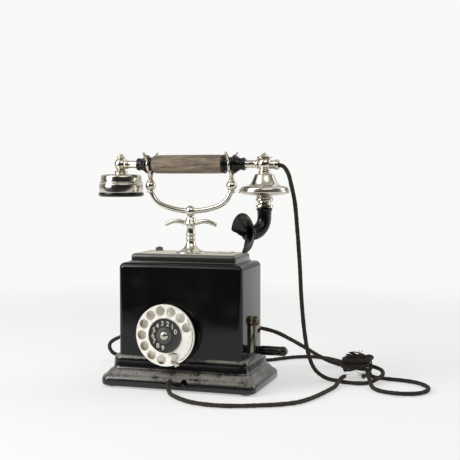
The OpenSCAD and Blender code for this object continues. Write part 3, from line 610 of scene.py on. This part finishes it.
def rod(radius, length, matrix):       # a cylinder along Z from its own origin
    bm = bmesh.new()
    bmesh.ops.create_cone(bm, cap_ends=True, segments=32, radius1=radius * mm, radius2=radius * mm,
                          depth=length * mm)
    bmesh.ops.translate(bm, verts=bm.verts, vec=(0, 0, length * mm / 2))
    bm.transform(matrix)
    return bm


moulding = outlineStack(base["width"], base["depth"], base["corner"], base["rings"])
for x in base["holes"]:
    cutter = rod(base["holeRadius"], 15, moved(x, -base["depth"] / 2 + 14, base["holeHeight"], 90, "X"))
    moulding = carve(moulding, cutter)
makePiece("baseMoulding", moulding, "stand", "base_enamel", ["base_casting"], sharp=35)
bush = softenEdges(lathe([(2.75, 0), (4.15, 0), (4.15, -7), (2.75, -7), (2.75, 0)], 32), 0.25)
makePiece("leadBush", bush, "stand", "brown_bush", ["front_bushes"],
          at=moved(base["holes"][0], -base["depth"] / 2 + 1.2, base["holeHeight"], 90, "X"))

case = {"size": (164, 90, 117), "corner": 7, "foot": 40}
plinth = {"size": (140, 66, 11), "corner": 4.6}
makePiece("caseBody", block(*case["size"], case["corner"], case["foot"], 10), "stand", "case_enamel",
          ["case_shell"], sharp=60)
plinthTop = case["foot"] + case["size"][2] + plinth["size"][2]
top = block(*plinth["size"], plinth["corner"], plinthTop - plinth["size"][2], 7)
joinInto(top, block(plinth["size"][0] + 1.6, plinth["size"][1] + 1.6, 1.8, 0.8, plinthTop - plinth["size"][2], 3))
makePiece("topPlinth", top, "stand", "plinth_enamel", ["top_plinth"], sharp=60)
hatch = {"size": (22, 24, 0.8), "place": (41, 12), "screws": (8.5, 9.5), "keyhole": (8, 3, 3), "keyholeY": -7.5}
keyhole = block(*hatch["keyhole"], 0.3, -1, 2)
keyhole.transform(moved(0, hatch["keyholeY"], 0))
plate = carve(softenEdges(block(*hatch["size"], 0.3, 0, 2), 0.05), keyhole)
for sx, sy in ((-1, 1), (1, 1), (1, -1), (-1, -1)):
    joinInto(plate, lathe([(0, 1.5), (0.9, 1.35), (1.5, 0.8), (1.5, 0.5)], 20),
             moved(sx * hatch["screws"][0], sy * hatch["screws"][1], 0))
makePiece("hatchPlate", plate, "stand", "plinth_enamel", ["hatch_plate"], at=moved(*hatch["place"], plinthTop))
lock = {"size": (8, 8, 4.4), "place": (-53, 24)}
lockShape = block(*lock["size"], 0.9, plinthTop, 3)
joinInto(lockShape, lathe([(0, 1.2), (1.6, 1.0), (2.2, 0.2), (2.2, -1)], 24),
         moved(0, 0, plinthTop + lock["size"][2] - 0.1))
makePiece("lockBlock", lockShape, "stand", "brown_bush", ["lock_block"], at=moved(*lock["place"], 0))
glands = bmesh.new()
for x, z in outlets:
    gland = lathe([(2.75, 1.2), (3.6, 1.2), (5, 0.5), (5, 0), (2.75, 0), (2.75, 1.2)], 32)
    joinInto(glands, softenEdges(gland, 0.15), moved(x, backFace, z, -90, "X"))
makePiece("backGlands", glands, "stand", "brown_bush", ["back_outlets"])
terminal = lathe([(0, 8.2), (1.3, 8.0), (1.6, 7.2), (1.6, 6.2), (2.9, 6.0), (3.2, 5.4), (3.2, 3.6), (2.9, 3.0),
                  (1.8, 2.8), (1.8, 0.9), (3.0, 0.6), (3.0, 0), (0, 0)], 32)
makePiece("bindingScrew", terminal, "stand", "copper", ["binding_screw"],
          at=moved(-case["size"][0] / 2 + 0.2, 16, case["foot"] + 5, -90, "Y"))
print("base and case built")


column = {"height": 46}
bow = {"z": 221.5, "rise": 32, "bar": 3.4, "ball": 7.2, "forkX": 55, "turn": 20.7}
handsetZ = 281.5
stem = lathe([
    (0, 0), (19.8, 0), (19.9, 0.7), (19.6, 1.3), (18.0, 1.7), (14.6, 2.6), (11.6, 4.2), (9.4, 6.2), (7.7, 8.6),
    (6.5, 11), (5.9, 12.6), (5.6, 14.6), (5.6, 16.4), (5.9, 16.8), (6.4, 17.4), (6.6, 18.1), (6.4, 18.8),
    (5.9, 19.4), (5.6, 19.7), (5.5, 21), (5.6, 22.4), (5.9, 22.8), (6.3, 23.4), (6.5, 24), (6.3, 24.6),
    (5.9, 25.2), (5.5, 25.5), (5.3, 30), (5.6, 34.6), (6.2, 35.6), (7.8, 36.3), (8.5, 37.1), (8.5, 38),
    (7.8, 38.8), (7.3, 40.2), (6.9, 42), (5.9, 44.4), (4.9, 45.9), (0, 46)], 72)
stem.transform(moved(0, 0, plinthTop))
armRoot = plinthTop + column["height"] - 8.5
for side in (-1, 1):
    points = [(side * (5 + 30.4 * t), 0, armRoot + 4.2 * sin(radians(150 * t)) - 4.2 * t * t)
              for t in [k / 8 for k in range(9)]]
    joinInto(stem, bar(points, 2.75, 0.7, 24, taper=1.04))
makePiece("columnAndArms", stem, "stand", "nickel", ["column", "carrying_arms"], sharp=50)

sideR = 0.86 * bow["rise"]
turn = radians(bow["turn"])
midR = (bow["forkX"] - sideR * (1 - sin(turn))) / sin(turn)
endZ = bow["z"] + midR * (1 - cos(turn)) + sideR * cos(turn)
half = [(midR * sin(turn * k / 5), 0, bow["z"] + midR * (1 - cos(turn * k / 5))) for k in range(6)]
half += [(bow["forkX"] - sideR + sideR * sin(a), 0, endZ - sideR * cos(a)) for a in
         [turn + (pi / 2 - turn) * k / 6 for k in range(1, 7)]]
bowPoints = [(-x, y, z) for x, y, z in half[:0:-1]] + half
cradle = bar(bowPoints, bow["bar"], 1.4, 28, ends=False)


def ball(radius, low=-90, high=90, steps=14):           # profile of a ball between two angles
    return [(radius * cos(radians(a)), radius * sin(radians(a))) for a in
            [low + (high - low) * k / steps for k in range(steps + 1)]]


joinInto(cradle, lathe([(0, -bow["ball"]), *ball(bow["ball"], -80, 80), (0, bow["ball"])], 48),
         moved(0, 0, bow["z"]))
for side in (-1, 1):
    joinInto(cradle, lathe([(0, -7), *ball(7, -80, 80), (0, 7)], 48), moved(side * bow["forkX"], 0, endZ))
    joinInto(cradle, lathe([(3.4, -2.4), (4.6, -2), (4.9, -1), (4.6, 0), (3.6, 0.4)], 40),
             moved(side * (bow["forkX"] - 0.1), 0, endZ - 7))
makePiece("cradleBow", cradle, "cradle", "nickel", ["cradle_bow"], sharp=60)

forks = bmesh.new()
stemTop = handsetZ - 9 - 5.6
reach = 11.1
for side in (-1, 1):
    joinInto(forks, lathe([
        (0, endZ + 4), (4.2, endZ + 5), (4.9, endZ + 6), (4.6, endZ + 7), (3.4, endZ + 7.8), (2.5, endZ + 8.8),
        (2.2, endZ + 9.8), (2.9, stemTop - 3.6), (3.4, stemTop - 2.6), (3.3, stemTop - 1.4), (2.4, stemTop),
        (0, stemTop + 0.6)], 36), moved(side * bow["forkX"], 0, 0))
    for face in (-1, 1):
        x = side * bow["forkX"]
        points = [(x, face * 0.9, stemTop - 2.4), (x + face * 0.1, face * 3, stemTop - 0.2)]
        points += [(x + face * 0.5, face * reach * cos(radians(a)), handsetZ + reach * sin(radians(a)))
                   for a in (-62, -46, -30, -15, 0, 16)]
        points += [(x + face * 0.9, face * (reach + 1.6), handsetZ + 6),
                   (x + face * 1.3, face * (reach + 5.4), handsetZ + 11),
                   (x + face * 1.6, face * (reach + 10), handsetZ + 15)]
        joinInto(forks, bar(points, 2.1, 0.8, 18, taper=0.85))
makePiece("forks", forks, "cradle", "nickel", ["forks"], sharp=60)
print("column and cradle built")


dial = {"x": -11.7, "face": -62, "z": 70, "radius": 38.5, "hole": 6, "holeRing": 30.5, "first": 21, "step": 26.7,
        "plate": 21.5, "figureRing": 15.4, "figureSize": 8.2, "thick": 1.6, "slot": (-56, 36, 35.6, 36.9),
        "stop": -65.5}
atDial = moved(dial["x"], dial["face"], dial["z"], 90, "X")     # local Z then points out of the dial


def ringOutline(bm, x, y, radius, segments):
    before = set(bm.edges)
    place = Matrix.Translation((x * mm, y * mm, 0))
    bmesh.ops.create_circle(bm, segments=segments, radius=radius * mm, matrix=place)
    return [e for e in bm.edges if e not in before]


def arcOutline(bm, low, high, inner, outer, count=40):
    points = [(r * cos(radians(a)), r * sin(radians(a))) for r, order in ((outer, 1), (inner, -1))
              for a in [low + (high - low) * k / count for k in range(count + 1)][::order]]
    verts = [bm.verts.new((x * mm, y * mm, 0)) for x, y in points]
    return [bm.edges.new(pair) for pair in zip(verts, verts[1:] + verts[:1])]


def thicken(bm, by):
    made = bmesh.ops.extrude_face_region(bm, geom=bm.faces[:])["geom"]
    verts = [v for v in made if isinstance(v, bmesh.types.BMVert)]
    bmesh.ops.translate(bm, verts=verts, vec=[step * mm for step in by])


def raisePlate(bm, edges, low, high, edge=0.3):    # fills an outline with its holes and gives it a thickness
    bmesh.ops.triangle_fill(bm, edges=edges, use_beauty=True, normal=(0, 0, 1))
    bmesh.ops.translate(bm, verts=bm.verts, vec=(0, 0, low * mm))
    thicken(bm, (0, 0, high - low))
    faceOut(bm)
    bmesh.ops.dissolve_limit(bm, angle_limit=radians(1), verts=bm.verts, edges=bm.edges)
    return softenEdges(bm, edge, 2, 40)


wheel = bmesh.new()
outline = ringOutline(wheel, 0, 0, dial["radius"] - 0.9, 128) + ringOutline(wheel, 0, 0, 8, 48)
for i in range(10):
    a = radians(dial["first"] + dial["step"] * i)
    outline += ringOutline(wheel, dial["holeRing"] * cos(a), dial["holeRing"] * sin(a), dial["hole"], 40)
outline += arcOutline(wheel, *dial["slot"])
raisePlate(wheel, outline, -dial["thick"], 0, 0.35)
joinInto(wheel, lathe([(dial["radius"] + r, z) for r, z in (
    (-1.5, -2.6), (-0.3, -2.8), (0, -2.2), (0, -0.3), (-0.4, 0.2), (-1.0, 0.25), (-1.5, -0.2), (-1.5, -2.6))], 128))
joinInto(wheel, lathe([(9, -1.2), (9, -2.4), (3.1, -2.4), (3.1, -1.2), (9, -1.2)], 48))
# the finger wheel gets the painted-light copy of the nickel
makePiece("fingerWheel", wheel, "dial_wheel", "nickel", ["finger_wheel"], look="lit_satin_nickel", sharp=35, at=atDial)

# the cup floor behind the finger holes gets the painted-light copy of the nickel, lit in colour though it lies in
# shade
makePiece("dialCupFloor", lathe([
    (3.1, -5.0), (12, -5.2), (24, -6.4), (30, -7.4), (34.2, -7.2), (35.0, -6.2), (35.0, -6.6), (34.2, -7.6),
    (30, -7.8), (3.1, -6), (3.1, -5.0)], 128), "stand", "nickel", ["dial_cup"], look="lit_satin_nickel", at=atDial)
# the cup wall gets the painted-shade copy of the nickel, mixed with tarnish
makePiece("dialCup", lathe([
    (30, -7.8), (34.2, -7.6), (35.0, -6.6), (35.0, -3.4), (36.0, -3.1), (37, -3.5), (37.2, -5.2), (36.4, -9),
    (35.6, -11.4), (34, -12), (26, -12), (26, -17), (6.1, -17), (6.1, -6), (30, -7.8)],
    128), "stand", "nickel", look="tarnish_and_shade_nickel", at=atDial)

makePiece("numberPlate", lathe([
    (3.1, 0.6), (dial["plate"] - 0.2, 0.6), (dial["plate"], 0.8), (dial["plate"], 1.2), (21.2, 1.45),
    (20.7, 1.45), (20.3, 1.3), (10.6, 1.3), (3.1, 1.3), (3.1, 0.6)],
    96), "stand", "number_enamel", ["number_plate"], sharp=30, at=atDial)
makePiece("centreBoss", lathe([
    (2, 1.3), (10.2, 1.3), (10.2, 1.9), (9.8, 2.4), (9.0, 2.7), (7.4, 2.85), (5.6, 2.7), (2, 2.7), (2, 1.3)],
    72), "stand", "grey_boss", ["dial_centre_boss"], at=atDial)
screw = lathe([(0, 0.4), (2, 0.4), (2, 2.7), (5.3, 2.7), (5.5, 3.1), (5.2, 3.8), (4.4, 4.7), (3.1, 5.4),
               (1.6, 5.8), (0, 5.9)], 48)
notch = block(13, 0.9, 3, 0.05, 5.0, 1)
notch.transform(moved(0, 0, 0, -24))
screw = carve(screw, notch)
makePiece("centreScrew", screw, "stand", "nickel", ["dial_centre_screw"], at=atDial)

figures = bmesh.new()
for i in range(10):
    text = bpy.data.curves.new("figure", "FONT")
    text.body, text.size, text.extrude = str(i), dial["figureSize"] * mm, 0.00008
    text.align_x, text.align_y, text.offset = "CENTER", "CENTER", 0.00012
    shape = bpy.data.objects.new("figure", text)
    scene.collection.objects.link(shape)
    bpy.context.view_layer.update()
    mesh = bpy.data.meshes.new_from_object(shape.evaluated_get(bpy.context.evaluated_depsgraph_get()))
    bpy.data.objects.remove(shape)
    figure = bmesh.new()
    figure.from_mesh(mesh)
    bpy.data.meshes.remove(mesh)
    bmesh.ops.remove_doubles(figure, verts=figure.verts, dist=1e-7)
    middle = [(min(c) + max(c)) / 2 for c in zip(*(v.co[:2] for v in figure.verts))]
    a = radians(dial["first"] + dial["step"] * i)
    joinInto(figures, figure, Matrix.Translation((dial["figureRing"] * cos(a) * mm - middle[0],
                                                  dial["figureRing"] * sin(a) * mm - middle[1], 1.38 * mm)))
makePiece("dialFigures", figures, "stand", "number_enamel", look="cream", at=atDial)

stop = bmesh.new()
along = [k / 16 for k in range(17)]
left = [(dial["radius"] - 15 * t, -60 - 7 * sin(2 * pi * t)) for t in along]
right = [(dial["radius"] - 15 * t, -71 - 9 * t * t - 5 * sin(2 * pi * t)) for t in along]
verts = [stop.verts.new((r * cos(radians(a)) * mm, r * sin(radians(a)) * mm, 0)) for r, a in left + right[::-1]]
edges = [stop.edges.new(pair) for pair in zip(verts, verts[1:] + verts[:1])]
raisePlate(stop, edges, 1.3, 2.2, 0.25)
for shape, reachOut in ((block(2.2, 7, 13.4, 0.5, -11.4, 2), 39.9), (block(5, 5, 1.0, 0.4, 1.25, 2), 38.2)):
    joinInto(stop, shape, moved(0, 0, 0, dial["stop"]) @ moved(reachOut, 0, 0))
makePiece("fingerStop", stop, "stand", "nickel", ["finger_stop"], sharp=35, at=atDial)
print("dial built")


crank = {"z": 84, "arm": 37, "x": 85.2, "thick": 2.6, "gripStart": 88.1, "grip": 38}
gripZ = crank["z"] - crank["arm"]
alongX = Matrix.Rotation(radians(90), 4, "Y")


def turnedX(profile, x, z, y=0, steps=48, flip=False):    # (radius, distance) points turned about an X line
    bm = lathe(profile, steps)
    bm.transform(moved(x, y, z, 180 if flip else 0) @ alongX)
    return bm


bush = turnedX([(4.05, 0), (6.9, 0), (6.9, 0.6), (6.3, 1.2), (5.9, 2.1), (4.05, 2.2), (4.05, 0)], 82, crank["z"])
makePiece("crankBush", bush, "stand", "crank_metal", ["crank_bush"])
arm = bmesh.new()
for radius, z in ((6.2, 0), (4.6, -crank["arm"])):
    for x in (0, crank["thick"]):
        bmesh.ops.create_circle(arm, segments=36, radius=radius * mm,
                                matrix=moved(crank["x"] + x, 0, crank["z"] + z) @ alongX)
bmesh.ops.delete(arm, geom=arm.edges[:], context="EDGES_FACES")
bmesh.ops.convex_hull(arm, input=arm.verts)
bmesh.ops.dissolve_limit(arm, angle_limit=radians(2), verts=arm.verts, edges=arm.edges)
softenEdges(arm, 0.5, 3, 40)
joinInto(arm, turnedX([(0, 0), (2, 0), (2, 1), (3.6, 1.1), (3.7, 1.8), (3.1, 2.5), (1.6, 2.9), (0, 3)],
                      crank["gripStart"] + crank["grip"] - 0.7, gripZ))
joinInto(arm, turnedX([(0, 0), (2, 0), (2, crank["grip"] + 0.8), (0, crank["grip"] + 0.8)],
                      crank["x"] + crank["thick"], gripZ))
makePiece("crankArm", arm, "crank", "crank_metal", ["crank_arm"], sharp=35)
hub = turnedX([
    (0, -1), (4, -1), (4, 1.6), (5.6, 1.8), (5.7, 2.6), (5.3, 3.6), (3.9, 4.2), (3.4, 4.6), (2.6, 5.2),
    (1.4, 5.5), (0, 5.6)], crank["x"] + 1, crank["z"])
joinInto(hub, turnedX([(0, -20), (4, -20), (4, crank["x"] + 1), (0, crank["x"] + 1)], 0, crank["z"]))
makePiece("crankHub", hub, "crank", "crank_metal", ["crank_shaft"])
grip = turnedX([
    (2.05, 0), (4.6, 0), (5.1, 0.5), (5.2, 2), (4.9, 3.2), (5.4, 5), (5.9, 8), (6.0, 16), (5.8, 26),
    (5.8, 31.5), (6.1, 32.4), (6.2, 33.4), (6.0, 34.2), (6.0, 36.4), (5.6, 37.4), (4.8, 38), (2.05, 38),
    (2.05, 0)], crank["gripStart"], gripZ)
makePiece("crankGrip", grip, "crank_handle", "ebonite", ["crank_grip"])
print("crank built")


handset = {"receiver": -96.7, "transmitter": 98, "gripFrom": -52, "gripTo": 43.6}
makePiece("woodenGrip", turnedX([
    (5, 0.0), (8.7, 0.0), (9.1, 0.2), (11.0, 2.6), (11.5, 3.6), (11.8, 8), (12, 22), (12, 48), (12, 78),
    (11.9, 92), (11.6, 95), (11.0, 95.6), (5, 95.6)],
    handset["gripFrom"], handsetZ, steps=80), "handset", "wood", ["wooden_grip"], sharp=35)
neck = [(9, 54), (9, 56), (9.5, 57.2), (11.4, 57.9), (12.0, 58.6), (12.0, 59.8), (11.5, 60.5), (10.7, 61.4),
        (9.6, 63.2), (8.5, 64.8), (7.6, 66.6), (7.3, 68.4), (7.7, 69.2), (8.2, 69.9), (8.2, 70.9), (7.9, 71.7),
        (7.7, 72.6), (6.6, 73.0), (5, 73), (5, 54)]
for name, inner, sign, node in (("ferruleLeft", -handset["gripFrom"], -1, "ferrule_left"),
                               ("ferruleRight", handset["gripTo"], 1, "ferrule_right")):
    profile = [(5, inner), (9, inner), *neck[1:-1], (5, inner)]
    if sign > 0:
        profile = [(5, inner), (11.2, inner), (12, inner + 0.6), (12.1, inner + 3.2), (11.4, inner + 4),
                   (9.4, inner + 4.1), (9, inner + 4.6), *neck[1:-1], (5, inner)]
    makePiece(name, turnedX(profile, 0, handsetZ, steps=64, flip=sign < 0), "handset", "ebonite", [node], sharp=35)
tube = turnedX([(0, -90), (4.5, -90), (4.5, 90), (0, 90)], 0, handsetZ)
for x, flip in ((handset["receiver"], False), (handset["transmitter"], True)):
    joinInto(tube, turnedX([(4.5, 6.6), (6.0, 7.2), (6.4, 8.2), (6.1, 9.2), (5.4, 9.8), (4.9, 10.4), (4.8, 12),
                            (4.8, 21), (5.4, 22), (5.4, 23.4), (4.5, 23.6)], x, handsetZ, steps=48, flip=flip))
makePiece("handsetTube", tube, "handset", "nickel", ["handset_tube"], sharp=40)

atReceiver = moved(handset["receiver"], 0, handsetZ)
atTransmitter = moved(handset["transmitter"], 0, handsetZ)
makePiece("receiverYoke", lathe([
    (0, 14.0), (1.9, 13.8), (3.0, 13.1), (3.3, 12.2), (2.8, 11.4), (2.9, 11.0), (4.6, 10.6), (5.6, 9.9),
    (5.8, 9.1), (5.2, 8.3), (5.0, 7.6), *ball(8.6, 58, -52, 18), (6.2, -8.0), (7.9, -8.3), (8.5, -9.0),
    (8.5, -10.4), (8.0, -11.1), (8.4, -11.6), (8.5, -12.2), (8.3, -12.6), (0, -12.6)],
    56), "handset", "nickel", ["receiver_yoke"], sharp=40, at=atReceiver)
makePiece("receiverCup", lathe([
    (0, -12.6), (8.4, -12.6), (16, -12.8), (22, -13.2), (24.6, -13.8), (25.9, -14.8), (26.4, -16.2),
    (26.5, -17.4), (26.5, -22.4), (27.3, -22.9), (28.2, -23.5), (28.4, -24.2), (28.1, -24.9), (27.6, -25.3),
    (27.8, -25.9), (28.4, -26.4), (28.5, -27.4), (28.5, -35.4), (28.2, -36.5), (0, -36.6)],
    96), "handset", "nickel", ["receiver_cup"], sharp=40, at=atReceiver)
makePiece("receiverCap", lathe([
    (0, -36.6), (29.0, -36.7), (29.5, -37.4), (29.6, -38.8), (29.3, -40.3), (28.4, -41.4), (26.6, -42),
    (12, -42), (8, -41.2), (4.6, -40.2), (4.0, -39.6), (4.0, -37.4), (0, -37.4)],
    96), "handset", "ebonite", ["receiver_cap"], sharp=40, at=atReceiver)

transmitterYoke = lathe([
    (0, 15.0), (1.1, 14.8), (1.6, 14.0), (1.5, 13.2), (2.4, 12.9), (3.3, 11.9), (5.0, 10.4), (6.2, 9.3),
    (8.8, 9.2), (9.5, 8.6), (9.5, 7.4), (8.8, 6.7), (6.6, 6.4), *ball(9.1, 40, -44, 16), (6.3, -7.2),
    (6.6, -8.2), (7.7, -8.7), (7.9, -10), (7.4, -11), (8.2, -12.2), (0, -12.2)], 56)
joinInto(transmitterYoke, turnedX([(2.75, 5), (5.2, 5), (5.4, 13.2), (6.3, 13.8), (6.5, 15.6), (6.4, 17.6),
                                   (5.6, 18.5), (2.75, 18.5), (2.75, 5)], 0, -1, steps=40))
makePiece("transmitterYoke", transmitterYoke, "handset", "nickel", ["transmitter_yoke"], sharp=40, at=atTransmitter)
makePiece("transmitterBell", lathe([
    (0, -12.2), (9, -12.2), (10.6, -12.4), (11.7, -13.0), (12.5, -14.4), (14.0, -18), (15.9, -22), (17.6, -25),
    (19.6, -26.8), (23.4, -27.5), (27.4, -28.2), (29.3, -29.6), (30.2, -31.2), (30.3, -32.4), (29.6, -33),
    (0, -33)], 96), "handset", "nickel", ["transmitter_bell"], sharp=40, at=atTransmitter)
rim = lathe([
    (0, -33), (30.2, -33), (31.1, -33.6), (31.3, -34.6), (31.0, -35.6), (29.8, -36.4), (27.8, -37),
    (27.2, -37.6), (23, -38.6), (16, -39.4), (12, -40), (10.4, -40.6), (9.6, -41.4), (10.0, -42.4),
    (10.8, -43.4), (11, -44.8), (10.7, -46.2), (9.4, -47.2), (8.3, -48.2), (8.2, -50.2), (9.2, -51),
    (10.6, -51.6), (10.9, -52.8), (10.8, -54.2), (6.5, -54.4), (6.5, -36), (0, -36)], 96)
for angle in (190, -8):
    joinInto(rim, lathe([(0, -2.4), *ball(2.4, -70, 70, 8), (0, 2.4)], 24),
             moved(0, 0, 0, angle) @ moved(31, 0, -34.4))
makePiece("transmitterRim", rim, "handset", "nickel", ["transmitter_rim"], sharp=40, at=atTransmitter)
print("handset built")


horn = {"heading": atan2(-25, -19.4), "bend": 19, "elbow": 66.5, "reach": 33.2, "tube": 9.2, "neck": 9.6,
        "bore": 6.4, "mouth": 25, "wall": 2.1, "top": 54.75,
        "chip": [(-1.3, 0.22), (-0.97, 0.13), (-0.86, 0.03), (-0.7, -0.02), (-0.55, -0.13), (-0.43, -0.19),
                 (-0.34, -0.31), (-0.19, -0.4), (-0.13, -0.55), (-0.05, -0.72), (-0.06, -0.88), (0.08, -1.3),
                 (-1.3, -1.3)]}
centreLine = [(Vector((0, 0, -horn["top"] - d)), Vector((0, 0, -1)), horn["tube"] - 0.05 * d)
              for d in (0, 2, 4, 6, 8, 10)]
centreLine += [(Vector((horn["bend"] * (1 - cos(a)), 0, -horn["elbow"] - horn["bend"] * sin(a))),
                Vector((sin(a), 0, -cos(a))), horn["tube"] - 0.5 + 0.9 * (k / 14) ** 2)
               for k, a in [(k, pi / 2 * k / 14) for k in range(1, 15)]]
flare = [(Vector((horn["bend"] + (horn["reach"] - horn["bend"]) * t, 0, -horn["elbow"] - horn["bend"])),
          Vector((1, 0, 0)), horn["neck"] + (horn["mouth"] - horn["neck"]) * t ** 2.1)
         for t in [k / 18 for k in range(1, 19)]]
lip = flare[-1]
inside = [(lip[0] + Vector((x, 0, 0)), lip[1], lip[2] - thick) for x, thick in ((0.5, 0.7), (0.2, 1.5))]
inside += [(c, t, r - horn["wall"] - 0.8 * (1 - i / len(flare))) for i, (c, t, r) in list(enumerate(flare))[-2::-1]]
inside += [(c, t, horn["bore"]) for c, t, r in centreLine[:6:-1]]
hornShell = sweep([(c * mm, t, Vector((0, 1, 0)), r * mm) for c, t, r in centreLine + flare + inside], 72)
faceOut(hornShell)
chip = bmesh.new()
chipVerts = [chip.verts.new((0, y * horn["mouth"] * mm, z * horn["mouth"] * mm)) for y, z in horn["chip"]]
bmesh.ops.contextual_create(chip, geom=chipVerts)
thicken(chip, (30, 0, 0))
chip.transform(moved(horn["bend"] + 5.3, 0, -horn["elbow"] - horn["bend"]))
hornShell = carve(hornShell, chip)
joinInto(hornShell, lathe([(r, h - horn["top"]) for r, h in (
    (0, 14), (6.4, 14), (6.4, -0.1), (9.0, 0), (9.9, -0.6), (10.1, -1.8), (9.8, -3), (9.1, -3.8), (8.0, -4))], 64))
makePiece("horn", hornShell, "mouthpiece", "ebonite", ["horn"], sharp=38,
          at=atTransmitter @ Matrix.Rotation(horn["heading"], 4, "Z"))
print("horn built")


studio = {"paper": 0.945, "near": 0.55, "far": 1.3, "glow": 0.46, "albedo": 0.44, "front": -0.62,
          "suns": [((-38, -28, 0), 0.72, 42), ((30, 40, 0), 0.42, 60)],
          "panels": [((-1.15, -0.95, 0.75), (0.9, 1.0), 17), ((0.7, -0.95, 1.25), (1.2, 0.6), 4),
                     ((1.6, 0.8, 0.6), (0.8, 1.2), 6)]}
world = bpy.data.worlds.new("studio")
scene.world = world
world.use_nodes = True
tree = world.node_tree
background = tree.nodes["Background"]
way = Value(tree, tree.nodes.new("ShaderNodeTexCoord").outputs["Generated"])
x, y, z = way.split()
bright = (y.between(-0.25, 0.45) * 0.5).calc("MAXIMUM", z.between(0.35, 0.8) * 0.5) * z.between(-0.35, 0.02) + 0.02
seen = Value(tree, tree.nodes.new("ShaderNodeLightPath").outputs["Is Camera Ray"])
shade = bright * (1 - seen) + seen * studio["paper"]
connect(tree, shade.node("ShaderNodeCombineXYZ", {}, {0: shade, 1: shade, 2: shade * 0.99}),
        background.inputs["Color"])

for i, (turned, strength, spread) in enumerate(studio["suns"]):
    sun = bpy.data.lights.new("sun", "SUN")
    sun.energy, sun.angle = strength, radians(spread)
    lamp = bpy.data.objects.new("sun%d" % i, sun)
    lamp.rotation_euler = (-radians(turned[1]), radians(turned[0]), 0)
    scene.collection.objects.link(lamp)
for i, (spot, size, power) in enumerate(studio["panels"]):
    panel = bpy.data.lights.new("panel", "AREA")
    panel.shape, panel.size, panel.size_y, panel.energy = "RECTANGLE", size[0], size[1], power
    lamp = bpy.data.objects.new("panel%d" % i, panel)
    lamp.location = spot
    lamp.rotation_euler = (Vector((0, 0, 0.15)) - Vector(spot)).to_track_quat("-Z", "Y").to_euler()
    scene.collection.objects.link(lamp)

paper = bpy.data.materials.new("paper")
paper.use_nodes = True
tree = paper.node_tree
shader = tree.nodes["Principled BSDF"]
place = Value(tree, tree.nodes.new("ShaderNodeTexCoord").outputs["Object"])
far = place.node("ShaderNodeVectorMath", {"operation": "LENGTH"}, {0: place}, 1)
far = far.between(studio["near"], studio["far"])
connect(tree, far.mix((studio["albedo"],) * 3, (0.0, 0.0, 0.0)), shader.inputs["Base Color"])
level = far * (studio["paper"] - studio["glow"]) + studio["glow"]
connect(tree, level.node("ShaderNodeCombineXYZ", {}, {0: level, 1: level, 2: level * 0.99}),
        shader.inputs["Emission Color"])
shader.inputs["Emission Strength"].default_value = 1
shader.inputs["Roughness"].default_value = 0.9
shader.inputs["Specular IOR Level"].default_value = 0
floorShape = bmesh.new()
bmesh.ops.create_grid(floorShape, x_segments=2, y_segments=2, size=1)
bmesh.ops.scale(floorShape, vec=(5, 4, 1), verts=floorShape.verts)
bmesh.ops.translate(floorShape, vec=(0, 4 + studio["front"], -0.0002), verts=floorShape.verts)
floorMesh = bpy.data.meshes.new("paperFloor")
floorShape.to_mesh(floorMesh)
floorShape.free()
floorMesh.materials.append(paper)
floor = bpy.data.objects.new("paperFloor", floorMesh)
scene.collection.objects.link(floor)
scene.view_settings.view_transform = "Standard"
print("studio set")
